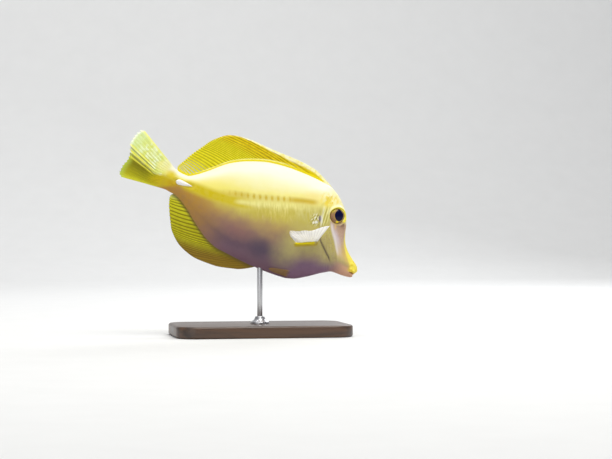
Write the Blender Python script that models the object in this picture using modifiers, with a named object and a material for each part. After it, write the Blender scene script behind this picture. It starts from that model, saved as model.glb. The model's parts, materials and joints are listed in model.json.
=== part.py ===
"""Yellow tang, a still life-size model on a display stand.

The fish is modelled level in its own frame: X runs forward along the body axis from the base of the tail,
Y is its left and Z its back. An empty then tips it nose down over the stand, as it swims in the photograph.
The body is one loft, parted along its gill slits, snout, jaws and tail stalk by cuts of GAP.
Sizes are millimetres times MM. Pairs are mirrored about the fish's middle plane.
"""

from math import cos, hypot, pi, radians, sin

import bmesh
import bpy
from mathutils import Matrix, Vector

MM = 0.001

# Pose and stand
NOSE_DOWN = radians(25.25)
BELLY_CLEARANCE = 32 * MM
BASE_LENGTH = 104 * MM
BASE_DEPTH = 60 * MM
BASE_HEIGHT = 7 * MM
BASE_ROUNDING = 1.4 * MM
CORNER_RADIUS = 12 * MM
ROD_RADIUS = 1.6 * MM
ROD_SINK = 7 * MM
ROD_ENTRY = 64.8
COLLAR_RADIUS = 5.5 * MM
COLLAR_HEIGHT = 4 * MM

# Gaps, so that neighbours touch without sharing space
GAP = 0.3 * MM

# The loft
TAIL_END = -6.0
RING_POINTS = 28
BODY_STATIONS = (-6, -4, -2, 0, 2.5, 5, 8, 12, 16, 20, 25, 30, 36, 42, 49, 56, 63, 70, 76, 81, 85, 88.5, 91.5,
                 94, 96, 97.8, 99.2, 100.4, 101.4, 102.4, 103.6, 105, 106.8, 109, 111.5, 114, 116, 117.2, 118,
                 118.4)

# Profiles along the body axis: place along the axis, height over it or half width
BACK = ((-6, 8.8), (-1, 7.7), (2.4, 7.8), (6.4, 10.2), (12.2, 15.5), (22, 25.2), (32, 31.3), (45, 36.3),
        (58, 38.5), (72, 39.3), (81, 39.2), (88, 36.6), (94, 32.2), (98, 27.7), (100.4, 23.0), (102.2, 17.6),
        (104.4, 13.0), (108, 8.9), (113, 5.4), (117.2, 2.7), (118.4, 0.9))
BELLY = ((-6, -5.3), (0, -5.5), (9, -9.2), (19, -15.6), (30, -21.4), (38, -23.3), (62, -23.7), (79, -22.2),
         (85, -20.3), (92, -15.7), (100, -9.4), (105, -6.5), (112, -5.8), (115.9, -4.9), (117.2, -2.6),
         (118.4, -0.6))
HALF_WIDTH = ((-6, 1.5), (0, 2.6), (8, 3.6), (20, 5.6), (35, 7.6), (50, 8.9), (66, 9.4), (80, 9.4), (89, 8.7),
              (96, 7.5), (102, 6.0), (107, 4.6), (112, 3.5), (116.4, 2.7), (118.4, 1.2))
WIDEST_LEVEL = ((-6, 1.8), (10, 3.2), (30, 6.0), (60, 9.5), (80, 12.5), (92, 13.0), (100, 8.0), (108, 1.6),
                (118.4, 0.2))
# Power of the cosine across a section: 1 is an ellipse, more is a sharper edge
EDGE_POWER = ((-6, 1.0), (20, 1.25), (60, 1.2), (80, 1.0), (92, 0.8), (104, 0.85), (118.4, 0.8))

# Eyes
EYE_PLACE = (92.8, 24.4)
EYE_RADIUS = 4.9 * MM
EYE_HALF_DEPTH = 3.2 * MM
EYE_PROUD = 1.4 * MM
ORBIT_RADIUS = 5.8
ORBIT_RISE = 0.9
# The rim fades out where the body is thinner than this
RISE_FADE = 3.0

# Parting lines in the side view, from the back to the belly
GILL_LINE = ((88, 46), (86.2, 37), (83.6, 29), (81.6, 22), (83.2, 14.5), (88.2, 7.6), (93.6, 3.4), (97.8, 0.2),
             (101.6, -3.6), (104.6, -12))
SNOUT_LINE = ((108, 24), (101.6, 19.2), (98.2, 14.0), (100.4, 7.0), (103.6, 0.0), (106.2, -5.0), (107.4, -12))
GILL_COVER_FRONT = ((86.4, 28.2), (88.6, 20.5), (92.0, 13.6), (97.2, 6.8), (101.6, 0.2))
GILL_COVER_DEPTH = 0.55
STALK_LINE = ((11, 40), (9.6, 8), (10.6, -1), (12, -40))
UPPER_JAW_LINE = ((112.4, 12), (112.4, 2.2), (111.4, -1.9))
MOUTH_BACK = (110.6, -2.3)
MOUTH_FRONT = (122, -2.1)
LOWER_JAW_LINE = ((110.6, -2.3), (107.6, -4.4), (107.0, -12))

# Fins: where each ray leaves the body, and the place of its tip
DORSAL_RAYS = ((-1, -5.0, 10.2), (9, -3.9, 14.4), (17, -1.0, 20.4), (25, 2.9, 27.6), (32, 7.2, 33.7),
               (38, 11.6, 38.2), (45, 18.6, 41.8), (52, 27, 43.2), (62, 41, 43.6), (70, 54.5, 44.5),
               (77, 66, 44.6), (84, 80.2, 40.6))
ANAL_RAYS = ((2.5, -1.9, -7.4), (10, 0.3, -12.3), (17, 3.3, -18.0), (24, 7.2, -24.5), (31, 13.2, -29.8),
             (38, 21, -32.8), (45, 30, -34.1), (52, 40.2, -32.9), (57, 49, -30.9), (61.5, 58, -26.6))
# Share of the way from the lower to the upper edge, place along the axis and height
TAIL_MARGIN = ((0, -31.8, -9.0), (0.1, -34.0, -7.4), (0.25, -34.3, -3.0), (0.4, -33.3, 1.6), (0.52, -34.0, 5.8),
               (0.66, -36.1, 11.0), (0.8, -35.6, 15.6), (0.9, -34.6, 18.6), (1, -32.2, 20.9))
TAIL_ROOT = -5.2
TAIL_LOWER_TURN = 8.5 * MM
TAIL_UPPER_TURN = 3.0 * MM
TAIL_RIDGE = 1.2 * MM
FIN_SINK = 1.6
FIN_THICKNESS = 0.7 * MM
FIN_ROOT_THICKNESS = 1.5 * MM
TAIL_ROOT_THICKNESS = 2.5 * MM
# Pectoral fins are spread sideways: root and tip of the foremost, middle and hindmost rays, as axis, out, up
PECTORAL_ROOT = ((88.4, 7.6), (79.8, 0.9))
PECTORAL_TIPS = ((0, 86.4, 30.0, 14.9), (0.2, 80.6, 32.0, 10.6), (0.4, 75.9, 32.0, 6.8), (0.6, 71.9, 30.5, 4.8),
                 (0.8, 67.0, 26.5, 2.6), (0.9, 68.6, 22.5, 0.4), (1, 74.8, 16.0, -1.2))
# Pelvic fins lie folded along the belly: root to tip, upper and lower edge
PELVIC_UPPER = ((81.2, -16.6), (68.4, -20.2))
PELVIC_LOWER = ((81.8, -20.8), (69.0, -22.3))

# Tail spines, folded in their grooves
SPINE_TIP = (7.4, 3.2)
SPINE_REAR = (-2.6, 1.9)
SPINE_HEIGHT = 3.1 * MM
SPINE_THICKNESS = 1.7 * MM
SPINE_PROUD = 0.75 * MM

YELLOW = (0.83, 0.68, 0.06)
PALE_YELLOW = (0.86, 0.80, 0.42)
SNOUT_YELLOW = (0.84, 0.66, 0.30)
FIN_YELLOW = (0.78, 0.70, 0.05)
GLASSY_WHITE = (0.88, 0.88, 0.82)
SPINE_WHITE = (0.93, 0.91, 0.86)
EYE_DARK = (0.02, 0.02, 0.05)
BASE_BROWN = (0.07, 0.035, 0.02)
STEEL = (0.60, 0.60, 0.62)


def clear_scene():
    for thing in list(bpy.data.objects):
        bpy.data.objects.remove(thing, do_unlink=True)


def new_collection(name, shown):
    group = bpy.data.collections.new(name)
    bpy.context.scene.collection.children.link(group)
    group.hide_render = not shown
    return group


def smooth(knots, at, column=1):
    """The value at a place between knots, along a curve that never swings past them."""
    xs = [k[0] for k in knots]
    ys = [k[column] for k in knots]
    if at <= xs[0]:
        return ys[0]
    if at >= xs[-1]:
        return ys[-1]
    steps = [(ys[i + 1] - ys[i]) / (xs[i + 1] - xs[i]) for i in range(len(xs) - 1)]
    slopes = [steps[0]]
    for before, after in zip(steps, steps[1:]):
        slopes.append(2 * before * after / (before + after) if before * after > 0 else 0.0)
    slopes.append(steps[-1])
    i = max(k for k in range(len(xs) - 1) if xs[k] <= at)
    span = xs[i + 1] - xs[i]
    t = (at - xs[i]) / span
    rest = 1 - t
    return (ys[i] * (1 + 2 * t) * rest * rest + slopes[i] * span * t * rest * rest
            + ys[i + 1] * t * t * (3 - 2 * t) - slopes[i + 1] * span * t * t * rest)


def bell(distance, reach):
    """1 at the centre, falling smoothly to 0 at the reach."""
    return (1 - min(distance / reach, 1.0) ** 2) ** 2


def orbit_rise(along, up):
    """How far the rim of the eye stands out of the side of the head."""
    return ORBIT_RISE * bell(hypot(along - EYE_PLACE[0], up - EYE_PLACE[1]), 1.7 * ORBIT_RADIUS)


def section_point(along, angle, grow=0.0):
    """A point of the body's surface; the angle is 0 at the left flank and a quarter turn on the back."""
    level = smooth(WIDEST_LEVEL, along)
    across = cos(angle)
    upward = sin(angle)
    height = smooth(BACK, along) - level if upward >= 0 else level - smooth(BELLY, along)
    out = smooth(HALF_WIDTH, along) * abs(across) ** smooth(EDGE_POWER, along)
    up = level + height * upward
    out += orbit_rise(along, up) * min(1.0, out / RISE_FADE)
    side = 1 if across >= 0 else -1
    return Vector((along * MM, side * (out * MM + grow * abs(across)), up * MM + grow * upward))


def half_width_at(along, up):
    """Half the body's width at a place in the side view."""
    level = smooth(WIDEST_LEVEL, along)
    height = smooth(BACK, along) - level if up >= level else level - smooth(BELLY, along)
    rise = min(abs(up - level) / height, 1.0)
    out = smooth(HALF_WIDTH, along) * (1 - rise * rise) ** (smooth(EDGE_POWER, along) / 2)
    return (out + orbit_rise(along, up)) * MM



def mesh_object(name, points, faces):
    mesh = bpy.data.meshes.new(name)
    mesh.from_pydata(points, [], faces)
    shape = bmesh.new()
    shape.from_mesh(mesh)
    bmesh.ops.recalc_face_normals(shape, faces=shape.faces)
    shape.to_mesh(mesh)
    shape.free()
    thing = bpy.data.objects.new(name, mesh)
    bpy.context.scene.collection.objects.link(thing)
    return thing


def body_loft(name, grow=0.0):
    """The whole body as a closed loft of sections along its axis."""
    rings = len(BODY_STATIONS)
    points = []
    for number, along in enumerate(BODY_STATIONS):
        for step in range(RING_POINTS):
            point = section_point(along, 2 * pi * step / RING_POINTS, grow)
            if number == 0:
                point.x -= grow
            if number == rings - 1:
                point.x += grow
            points.append(point)
    faces = [tuple(range(RING_POINTS)), tuple((rings - 1) * RING_POINTS + k for k in range(RING_POINTS))]
    for ring in range(rings - 1):
        for step in range(RING_POINTS):
            after = (step + 1) % RING_POINTS
            near = ring * RING_POINTS
            far = near + RING_POINTS
            faces.append((near + step, near + after, far + after, far + step))
    return mesh_object(name, points, faces)


def offset_outline(outline, distance):
    """The closed outline moved outward by a distance; a negative one moves it inward."""
    count = len(outline)
    area = sum(outline[i][0] * outline[(i + 1) % count][1] - outline[(i + 1) % count][0] * outline[i][1]
               for i in range(count))
    turn = 1 if area > 0 else -1
    moved = []
    for i, corner in enumerate(outline):
        here = Vector(corner)
        before = (here - Vector(outline[i - 1])).normalized()
        after = (Vector(outline[(i + 1) % count]) - here).normalized()
        normal = Vector((before.y + after.y, -before.x - after.x)) * turn
        normal.normalize()
        edge = Vector((before.y, -before.x)) * turn
        moved.append(here + normal * (distance / max(normal.dot(edge), 0.3)))
    return moved


def prism(name, outline, low, high, grow):
    """A side-view outline carried across the body, from one place on Y to another, grown by a distance."""
    flat = offset_outline([(along * MM, up * MM) for along, up in outline], grow)
    count = len(flat)
    points = [(p.x, low - grow, p.y) for p in flat] + [(p.x, high + grow, p.y) for p in flat]
    faces = [tuple(range(count)), tuple(range(count, 2 * count))]
    for i in range(count):
        after = (i + 1) % count
        faces.append((i, after, count + after, count + i))
    cutter = mesh_object(name, points, faces)
    hide_cutter(cutter)
    return cutter


def hide_cutter(cutter):
    for group in list(cutter.users_collection):
        group.objects.unlink(cutter)
    CUTTERS.objects.link(cutter)
    cutter.hide_render = True
    cutter.display_type = "WIRE"


def boolean(thing, cutter, operation):
    step = thing.modifiers.new(operation.title() + " " + cutter.name, "BOOLEAN")
    step.operation = operation
    step.solver = "EXACT"
    step.object = cutter


def finish(thing, parent, colour, roughness, metallic=0.0, alpha=1.0):
    """Puts a piece in the model's collection, under its parent, with its own material."""
    for group in list(thing.users_collection):
        group.objects.unlink(thing)
    MODEL.objects.link(thing)
    thing.parent = parent
    material = bpy.data.materials.new(thing.name)
    material.use_nodes = True
    surface = material.node_tree.nodes["Principled BSDF"]
    surface.inputs["Base Color"].default_value = (*colour, 1.0)
    surface.inputs["Roughness"].default_value = roughness
    surface.inputs["Metallic"].default_value = metallic
    surface.inputs["Alpha"].default_value = alpha
    thing.data.materials.clear()
    thing.data.materials.append(material)
    for face in thing.data.polygons:
        face.use_smooth = True
    return thing


def parted(name, outline, fish, colour, depth=None):
    """The part of the body inside a side-view outline, half a gap clear of its neighbours."""
    piece = body_loft(name)
    low, high = depth or (-20 * MM, 20 * MM)
    boolean(piece, prism("cut_" + name, outline, low, high, -GAP / 2), "INTERSECT")
    return finish(piece, fish, colour, 0.45)


def fin(name, root, tip, bend, columns, rows, root_thickness, fish, colour, alpha=1.0):
    """A fin as a closed blade: straight rays from root to tip, bent sideways, thickest at the root."""
    def middle(across, out):
        place = root(across).lerp(tip(across), out)
        place.y += bend(across, out)
        return place

    step = 0.02
    points = []
    for side in (1, -1):
        for i in range(columns + 1):
            for j in range(rows + 1):
                across = i / columns
                out = j / rows
                over = middle(min(across + step, 1), out) - middle(max(across - step, 0), out)
                along = middle(across, min(out + step, 1)) - middle(across, max(out - step, 0))
                normal = over.cross(along).normalized()
                thickness = FIN_THICKNESS + (root_thickness - FIN_THICKNESS) * (1 - out) ** 3
                points.append(middle(across, out) + normal * side * thickness / 2)
    stride = rows + 1
    back = (columns + 1) * stride
    faces = []
    for i in range(columns):
        for j in range(rows):
            corner = i * stride + j
            quad = (corner, corner + 1, corner + stride + 1, corner + stride)
            faces.append(quad)
            faces.append(tuple(back + k for k in quad))
    rim = [i * stride for i in range(columns)] + [columns * stride + j for j in range(rows)]
    rim += [i * stride + rows for i in range(columns, 0, -1)] + [j for j in range(rows, 0, -1)]
    for k, start in enumerate(rim):
        end = rim[(k + 1) % len(rim)]
        faces.append((start, end, back + end, back + start))
    return finish(mesh_object(name, points, faces), fish, colour, 0.4, alpha=alpha)


def flat_bend(across, out):
    return 0.0


def build_body(fish):
    """Head, snout, jaws, gill covers, trunk and tail stalk, cut out of the same loft."""
    gill = list(GILL_LINE)
    snout = list(SNOUT_LINE)
    cover = gill[3:9] + list(reversed(GILL_COVER_FRONT))
    head = parted("head", gill + list(reversed(snout)), fish, YELLOW)
    for name, side in (("left", 1), ("right", -1)):
        inner = GILL_COVER_DEPTH * half_width_at(90, 10)
        low, high = sorted((side * inner, side * 20 * MM))
        parted("gill_cover_" + name, cover, fish, PALE_YELLOW, (low, high))
        cutter = prism("seat_gill_cover_" + name, cover, low, high, GAP / 2)
        boolean(head, cutter, "DIFFERENCE")
    stalk = list(STALK_LINE)
    trunk = parted("trunk", stalk + list(reversed(gill)), fish, PALE_YELLOW)
    far_behind = [(TAIL_END - 2, -40), (TAIL_END - 2, 40)]
    parted("tail_stalk", far_behind + stalk, fish, YELLOW)
    upper = list(UPPER_JAW_LINE)
    mouth = [MOUTH_BACK, MOUTH_FRONT]
    lower = list(LOWER_JAW_LINE)
    parted("snout", snout + list(reversed(lower)) + list(reversed(upper)), fish, SNOUT_YELLOW)
    parted("upper_jaw", upper + mouth + [(122, 12)], fish, YELLOW)
    parted("lower_jaw", mouth + [(122, -12)] + list(reversed(lower[1:])), fish, SNOUT_YELLOW)
    return head, trunk


def build_eyes(fish, head):
    depth = half_width_at(*EYE_PLACE) - orbit_rise(*EYE_PLACE) * MM + EYE_PROUD - EYE_HALF_DEPTH
    for name, side in (("left", 1), ("right", -1)):
        centre = Vector((EYE_PLACE[0] * MM, side * depth, EYE_PLACE[1] * MM))
        for role, grow in (("eye_", 0.0), ("socket_", GAP)):
            shape = bmesh.new()
            bmesh.ops.create_uvsphere(shape, u_segments=18, v_segments=11, radius=EYE_RADIUS + grow)
            bmesh.ops.rotate(shape, verts=shape.verts, matrix=Matrix.Rotation(pi / 2, 3, "X"))
            flatness = (EYE_HALF_DEPTH + grow) / (EYE_RADIUS + grow)
            bmesh.ops.scale(shape, verts=shape.verts, vec=(1.0, flatness, 1.0))
            bmesh.ops.translate(shape, verts=shape.verts, vec=centre)
            mesh = bpy.data.meshes.new(role + name)
            shape.to_mesh(mesh)
            shape.free()
            ball = bpy.data.objects.new(role + name, mesh)
            bpy.context.scene.collection.objects.link(ball)
            if role == "eye_":
                finish(ball, fish, EYE_DARK, 0.05)
            else:
                hide_cutter(ball)
                boolean(head, ball, "DIFFERENCE")


def ray_fin(name, rays, edge, sink, grown, fish):
    """A dorsal or anal fin on the middle plane, its root sunk in the body and trimmed back off it."""
    first = rays[0][0]
    last = rays[-1][0]

    def root(across):
        along = first + (last - first) * across
        return Vector((along * MM, 0.0, (smooth(edge, along) + sink) * MM))

    def tip(across):
        along = first + (last - first) * across
        return Vector((smooth(rays, along, 1) * MM, 0.0, smooth(rays, along, 2) * MM))

    blade = fin(name, root, tip, flat_bend, 26, 4, FIN_ROOT_THICKNESS, fish, FIN_YELLOW)
    boolean(blade, grown, "DIFFERENCE")
    return blade


def build_tail_fin(fish, grown):
    """The tail fin, half closed: a low ridge towards its right, with the lower lobe turned to the left."""
    def root(across):
        low = smooth(BELLY, TAIL_ROOT)
        high = smooth(BACK, TAIL_ROOT)
        return Vector((TAIL_ROOT * MM, 0.0, (low + (high - low) * across) * MM))

    def tip(across):
        return Vector((smooth(TAIL_MARGIN, across, 1) * MM, 0.0, smooth(TAIL_MARGIN, across, 2) * MM))

    def bend(across, out):
        lower = max(0.5 - across, 0) * 2
        upper = max(across - 0.5, 0) * 2
        ridge = bell(across - 0.5, 0.4)
        return (TAIL_LOWER_TURN * lower ** 1.5 + TAIL_UPPER_TURN * upper ** 1.5) * out ** 1.4 - TAIL_RIDGE * ridge * out

    blade = fin("tail_fin", root, tip, bend, 18, 5, TAIL_ROOT_THICKNESS, fish, FIN_YELLOW)
    boolean(blade, grown, "DIFFERENCE")


def build_pectoral_fins(fish, grown):
    for name, side in (("left", 1), ("right", -1)):
        def root(across):
            along = PECTORAL_ROOT[0][0] + (PECTORAL_ROOT[1][0] - PECTORAL_ROOT[0][0]) * across
            up = PECTORAL_ROOT[0][1] + (PECTORAL_ROOT[1][1] - PECTORAL_ROOT[0][1]) * across
            return Vector((along * MM, side * (half_width_at(along, up) - 0.8 * MM), up * MM))

        def tip(across):
            along, out, up = (smooth(PECTORAL_TIPS, across, k) for k in (1, 2, 3))
            return Vector((along * MM, side * out * MM, up * MM))

        def bend(across, out):
            return -side * 1.5 * MM * sin(pi * out) * sin(pi * across)

        blade = fin("pectoral_fin_" + name, root, tip, bend, 10, 6, FIN_ROOT_THICKNESS, fish, GLASSY_WHITE, 0.75)
        boolean(blade, grown, "DIFFERENCE")


def build_pelvic_fins(fish, grown):
    for name, side in (("left", 1), ("right", -1)):
        def edge(line, out):
            along = line[0][0] + (line[1][0] - line[0][0]) * out
            up = line[0][1] + (line[1][1] - line[0][1]) * out
            return Vector((along * MM, side * (half_width_at(along, up) + 0.55 * MM), up * MM))

        def root(across):
            return edge(PELVIC_UPPER, 0).lerp(edge(PELVIC_LOWER, 0), across)

        def tip(across):
            return edge(PELVIC_UPPER, 1).lerp(edge(PELVIC_LOWER, 1), across)

        def bend(across, out):
            place = root(across).lerp(tip(across), out)
            return side * (half_width_at(place.x / MM, place.z / MM) + 0.55 * MM) - place.y

        blade = fin("pelvic_fin_" + name, root, tip, bend, 3, 5, FIN_ROOT_THICKNESS, fish, FIN_YELLOW)
        boolean(blade, grown, "DIFFERENCE")


def spine_body(name, side, grow):
    """A tail spine: a lancet with a blunt rear, a pointed tip and a keel along its outer side."""
    tip = Vector((SPINE_TIP[0] * MM, 0.0, SPINE_TIP[1] * MM))
    rear = Vector((SPINE_REAR[0] * MM, 0.0, SPINE_REAR[1] * MM))
    forward = (tip - rear).normalized()
    upward = Vector((-forward.z, 0.0, forward.x))
    length = (tip - rear).length
    middle_along = (SPINE_TIP[0] + SPINE_REAR[0]) / 2
    middle_up = (SPINE_TIP[1] + SPINE_REAR[1]) / 2
    steps = 9
    around = 10
    points = []
    for i in range(steps + 1):
        share = i / steps
        half = SPINE_HEIGHT / 2 * (4 * share * (1 - share) ** 0.9) ** 0.6 if 0 < share < 1 else 0.12 * MM
        half = max(half * (1.15 - 0.5 * share), 0.12 * MM) + grow
        place = rear + forward * ((length + 2 * grow) * share - grow)
        surface = half_width_at(place.x / MM, place.z / MM)
        for k in range(around):
            turn = 2 * pi * k / around
            depth = (SPINE_THICKNESS / 2 * min(1.0, half / (0.8 * MM)) + grow) * sin(turn)
            centre = surface + SPINE_PROUD - SPINE_THICKNESS / 2
            points.append(place + upward * half * cos(turn) + Vector((0.0, side * (centre + depth), 0.0)))
    faces = [tuple(range(around)), tuple(steps * around + k for k in range(around))]
    for i in range(steps):
        for k in range(around):
            after = (k + 1) % around
            faces.append((i * around + k, i * around + after, (i + 1) * around + after, (i + 1) * around + k))
    return mesh_object(name, points, faces)


def build_tail_spines(fish):
    stalk = bpy.data.objects["tail_stalk"]
    for name, side in (("left", 1), ("right", -1)):
        finish(spine_body("tail_spine_" + name, side, 0.0), fish, SPINE_WHITE, 0.3)
        groove = spine_body("groove_" + name, side, GAP)
        hide_cutter(groove)
        boolean(stalk, groove, "DIFFERENCE")


def cylinder(name, radius, low, high, sides=28):
    shape = bmesh.new()
    bmesh.ops.create_cone(shape, cap_ends=True, segments=sides, radius1=radius, radius2=radius, depth=high - low)
    bmesh.ops.translate(shape, verts=shape.verts, vec=(0, 0, (low + high) / 2))
    mesh = bpy.data.meshes.new(name)
    shape.to_mesh(mesh)
    shape.free()
    thing = bpy.data.objects.new(name, mesh)
    bpy.context.scene.collection.objects.link(thing)
    return thing


def rounded_plate(name, length, depth, height, corner):
    """A flat plate with rounded corners, standing on the floor, its edges eased by a bevel."""
    outline = []
    per_corner = 6
    for quarter in range(4):
        centre = ((length / 2 - corner) * (1, -1, -1, 1)[quarter], (depth / 2 - corner) * (1, 1, -1, -1)[quarter])
        for k in range(per_corner + 1):
            turn = pi / 2 * (quarter + k / per_corner)
            outline.append((centre[0] + corner * cos(turn), centre[1] + corner * sin(turn)))
    shape = bmesh.new()
    base = shape.faces.new([shape.verts.new((x, y, 0.0)) for x, y in outline])
    raised = bmesh.ops.extrude_face_region(shape, geom=[base])
    top = [part for part in raised["geom"] if isinstance(part, bmesh.types.BMVert)]
    bmesh.ops.translate(shape, verts=top, vec=(0, 0, height))
    bmesh.ops.recalc_face_normals(shape, faces=shape.faces)
    mesh = bpy.data.meshes.new(name)
    shape.to_mesh(mesh)
    shape.free()
    thing = bpy.data.objects.new(name, mesh)
    bpy.context.scene.collection.objects.link(thing)
    easing = thing.modifiers.new("Eased edges", "BEVEL")
    easing.width = BASE_ROUNDING
    easing.segments = 2
    easing.limit_method = "ANGLE"
    easing.angle_limit = radians(60)
    return thing


def build_stand(stand, trunk, entry_height):
    """A flat base, a rod up into the belly and a collar where the rod leaves the base."""
    finish(rounded_plate("stand_base", BASE_LENGTH, BASE_DEPTH, BASE_HEIGHT, CORNER_RADIUS), stand, BASE_BROWN, 0.35)
    rod = cylinder("stand_rod", ROD_RADIUS, BASE_HEIGHT + GAP, entry_height + ROD_SINK)
    finish(rod, stand, STEEL, 0.25, 1.0)
    seat = cylinder("seat_rod", ROD_RADIUS + GAP, BASE_HEIGHT, entry_height + ROD_SINK + GAP)
    seat.parent = stand
    hide_cutter(seat)
    boolean(trunk, seat, "DIFFERENCE")
    profile = ((ROD_RADIUS + GAP, 0.0), (COLLAR_RADIUS, 0.0), (COLLAR_RADIUS, 1.2 * MM),
               (COLLAR_RADIUS * 0.62, COLLAR_HEIGHT * 0.55), (COLLAR_RADIUS * 0.52, COLLAR_HEIGHT),
               (ROD_RADIUS + GAP, COLLAR_HEIGHT))
    corners = [(x, 0.0, z + BASE_HEIGHT + GAP) for x, z in profile]
    mesh = bpy.data.meshes.new("stand_collar")
    mesh.from_pydata(corners, [(i, (i + 1) % len(corners)) for i in range(len(corners))], [])
    collar = bpy.data.objects.new("stand_collar", mesh)
    bpy.context.scene.collection.objects.link(collar)
    turned = collar.modifiers.new("Turned", "SCREW")
    turned.steps = 28
    turned.render_steps = 28
    turned.use_normal_calculate = True
    turned.use_normal_flip = True
    finish(collar, stand, STEEL, 0.25, 1.0)


def build():
    """The fish hangs from one empty, tipped nose down, and the stand from another."""
    stand = bpy.data.objects.new("stand_place", None)
    fish = bpy.data.objects.new("fish_pose", None)
    for place in (stand, fish):
        MODEL.objects.link(place)
    entry = Vector((ROD_ENTRY * MM, 0.0, smooth(BELLY, ROD_ENTRY) * MM))
    turn = Matrix.Rotation(NOSE_DOWN, 3, "Y")
    lifted = turn @ entry
    entry_height = BASE_HEIGHT + BELLY_CLEARANCE
    fish.rotation_euler = (0.0, NOSE_DOWN, 0.0)
    fish.location = (-lifted.x, 0.0, entry_height - lifted.z)

    head, trunk = build_body(fish)
    build_eyes(fish, head)
    grown = body_loft("grown_body", GAP)
    grown.parent = fish
    hide_cutter(grown)
    ray_fin("dorsal_fin", DORSAL_RAYS, BACK, -FIN_SINK, grown, fish)
    ray_fin("anal_fin", ANAL_RAYS, BELLY, FIN_SINK, grown, fish)
    build_tail_fin(fish, grown)
    build_pectoral_fins(fish, grown)
    build_pelvic_fins(fish, grown)
    build_tail_spines(fish)
    for cutter in CUTTERS.objects:
        if cutter.parent is None:
            cutter.parent = fish
    build_stand(stand, trunk, entry_height)


clear_scene()
MODEL = new_collection("yellow_tang", True)
CUTTERS = new_collection("cutters", False)
build()
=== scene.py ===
"""Yellow tang on a display stand: the looks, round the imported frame.

One skin takes the place of every fleshy solid: a body lofted along the fish's axis, with its back, belly and
tail fins grown out of it ray by ray. The side fins, eyes, tail spines and stand are pieces of their own. The
fish is shaped level in its own frame, in millimetres: along the axis, out to its left, and up towards its
back. It is then turned into the frame's pose and metres.
"""

import json
from math import cos, pi, radians, sin, tan

import bmesh
import bpy
import numpy as np
from bpy.props import FloatProperty, FloatVectorProperty, IntProperty, PointerProperty
from bpy.types import Operator, Panel, PropertyGroup
from mathutils import Matrix, Vector

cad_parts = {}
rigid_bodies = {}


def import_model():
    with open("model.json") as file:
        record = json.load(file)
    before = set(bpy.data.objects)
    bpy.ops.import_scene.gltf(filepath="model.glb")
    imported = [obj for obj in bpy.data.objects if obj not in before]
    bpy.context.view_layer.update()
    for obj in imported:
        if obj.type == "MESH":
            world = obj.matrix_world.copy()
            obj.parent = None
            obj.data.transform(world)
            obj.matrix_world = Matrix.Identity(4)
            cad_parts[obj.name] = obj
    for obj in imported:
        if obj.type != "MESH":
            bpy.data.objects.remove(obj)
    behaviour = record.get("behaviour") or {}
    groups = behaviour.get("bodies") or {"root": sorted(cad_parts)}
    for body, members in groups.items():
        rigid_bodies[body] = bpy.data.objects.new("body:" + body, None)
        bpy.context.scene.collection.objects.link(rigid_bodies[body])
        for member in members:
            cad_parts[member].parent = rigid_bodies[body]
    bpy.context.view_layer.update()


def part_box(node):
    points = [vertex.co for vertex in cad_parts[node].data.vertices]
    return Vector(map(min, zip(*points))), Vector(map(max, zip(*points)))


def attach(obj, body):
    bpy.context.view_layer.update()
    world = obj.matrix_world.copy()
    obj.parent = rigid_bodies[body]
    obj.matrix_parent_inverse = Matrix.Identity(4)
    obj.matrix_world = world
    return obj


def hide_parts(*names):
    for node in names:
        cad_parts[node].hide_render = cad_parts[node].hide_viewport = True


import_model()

bl_info = {
    "name": "Yellow tang on a stand",
    "version": (1, 0, 0),
    "blender": (4, 5, 0),
    "location": "View3D > Sidebar > Yellow tang",
    "description": "Builds the skin, fins, eyes, tail spines and stand of a life-size yellow tang",
    "category": "Object",
}

MM = 0.001
BODY = "root"
FLESH_NODES = (
    "head", "gill_cover_left", "gill_cover_right", "snout", "upper_jaw", "lower_jaw", "trunk", "tail_stalk",
    "dorsal_fin", "anal_fin", "tail_fin", "pelvic_fin_left", "pelvic_fin_right",
)

# Pose: the fish is tipped nose down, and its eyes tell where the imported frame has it
NOSE_DOWN = radians(25.25)
EYE_PLACE = (92.8, 24.4)

# Profiles along the axis: place along it, then height or half width, all in millimetres
BODY_START = -6
BODY_END = 118.4
BACK = ((-6, 8.8), (-1, 7.7), (2.4, 7.8), (6.4, 10.2), (12.2, 15.5), (22, 25.2), (32, 31.3), (45, 36.3),
        (58, 38.5), (72, 39.3), (81, 39.2), (88, 36.6), (94, 32.2), (98, 27.7), (100.4, 23.0),
        (102.2, 17.6), (104.4, 13.0), (108, 8.9), (113, 5.4), (117.2, 2.7), (118.4, 0.9))
BELLY = ((-6, -5.3), (0, -5.5), (9, -9.2), (19, -15.6), (30, -21.4), (38, -23.3), (62, -23.7), (79, -22.2),
         (85, -20.3), (92, -15.7), (100, -9.4), (105, -6.5), (112, -5.8), (115.9, -4.9), (117.2, -2.6),
         (118.4, -0.6))
HALF_WIDTH = ((-6, 1.5), (0, 2.6), (8, 3.6), (20, 5.6), (35, 7.6), (50, 8.9), (66, 9.4), (80, 9.4),
              (89, 8.7), (96, 7.5), (102, 6.0), (107, 4.6), (112, 3.5), (116.4, 2.7), (118.4, 1.2))
WIDEST_LEVEL = ((-6, 1.8), (10, 3.2), (30, 6.0), (60, 9.5), (80, 12.5), (92, 13.0), (100, 8.0), (108, 1.6),
                (118.4, 0.2))
EDGE_POWER = ((-6, 1.0), (20, 1.25), (60, 1.2), (80, 1.0), (92, 0.8), (104, 0.85), (118.4, 0.8))

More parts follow.
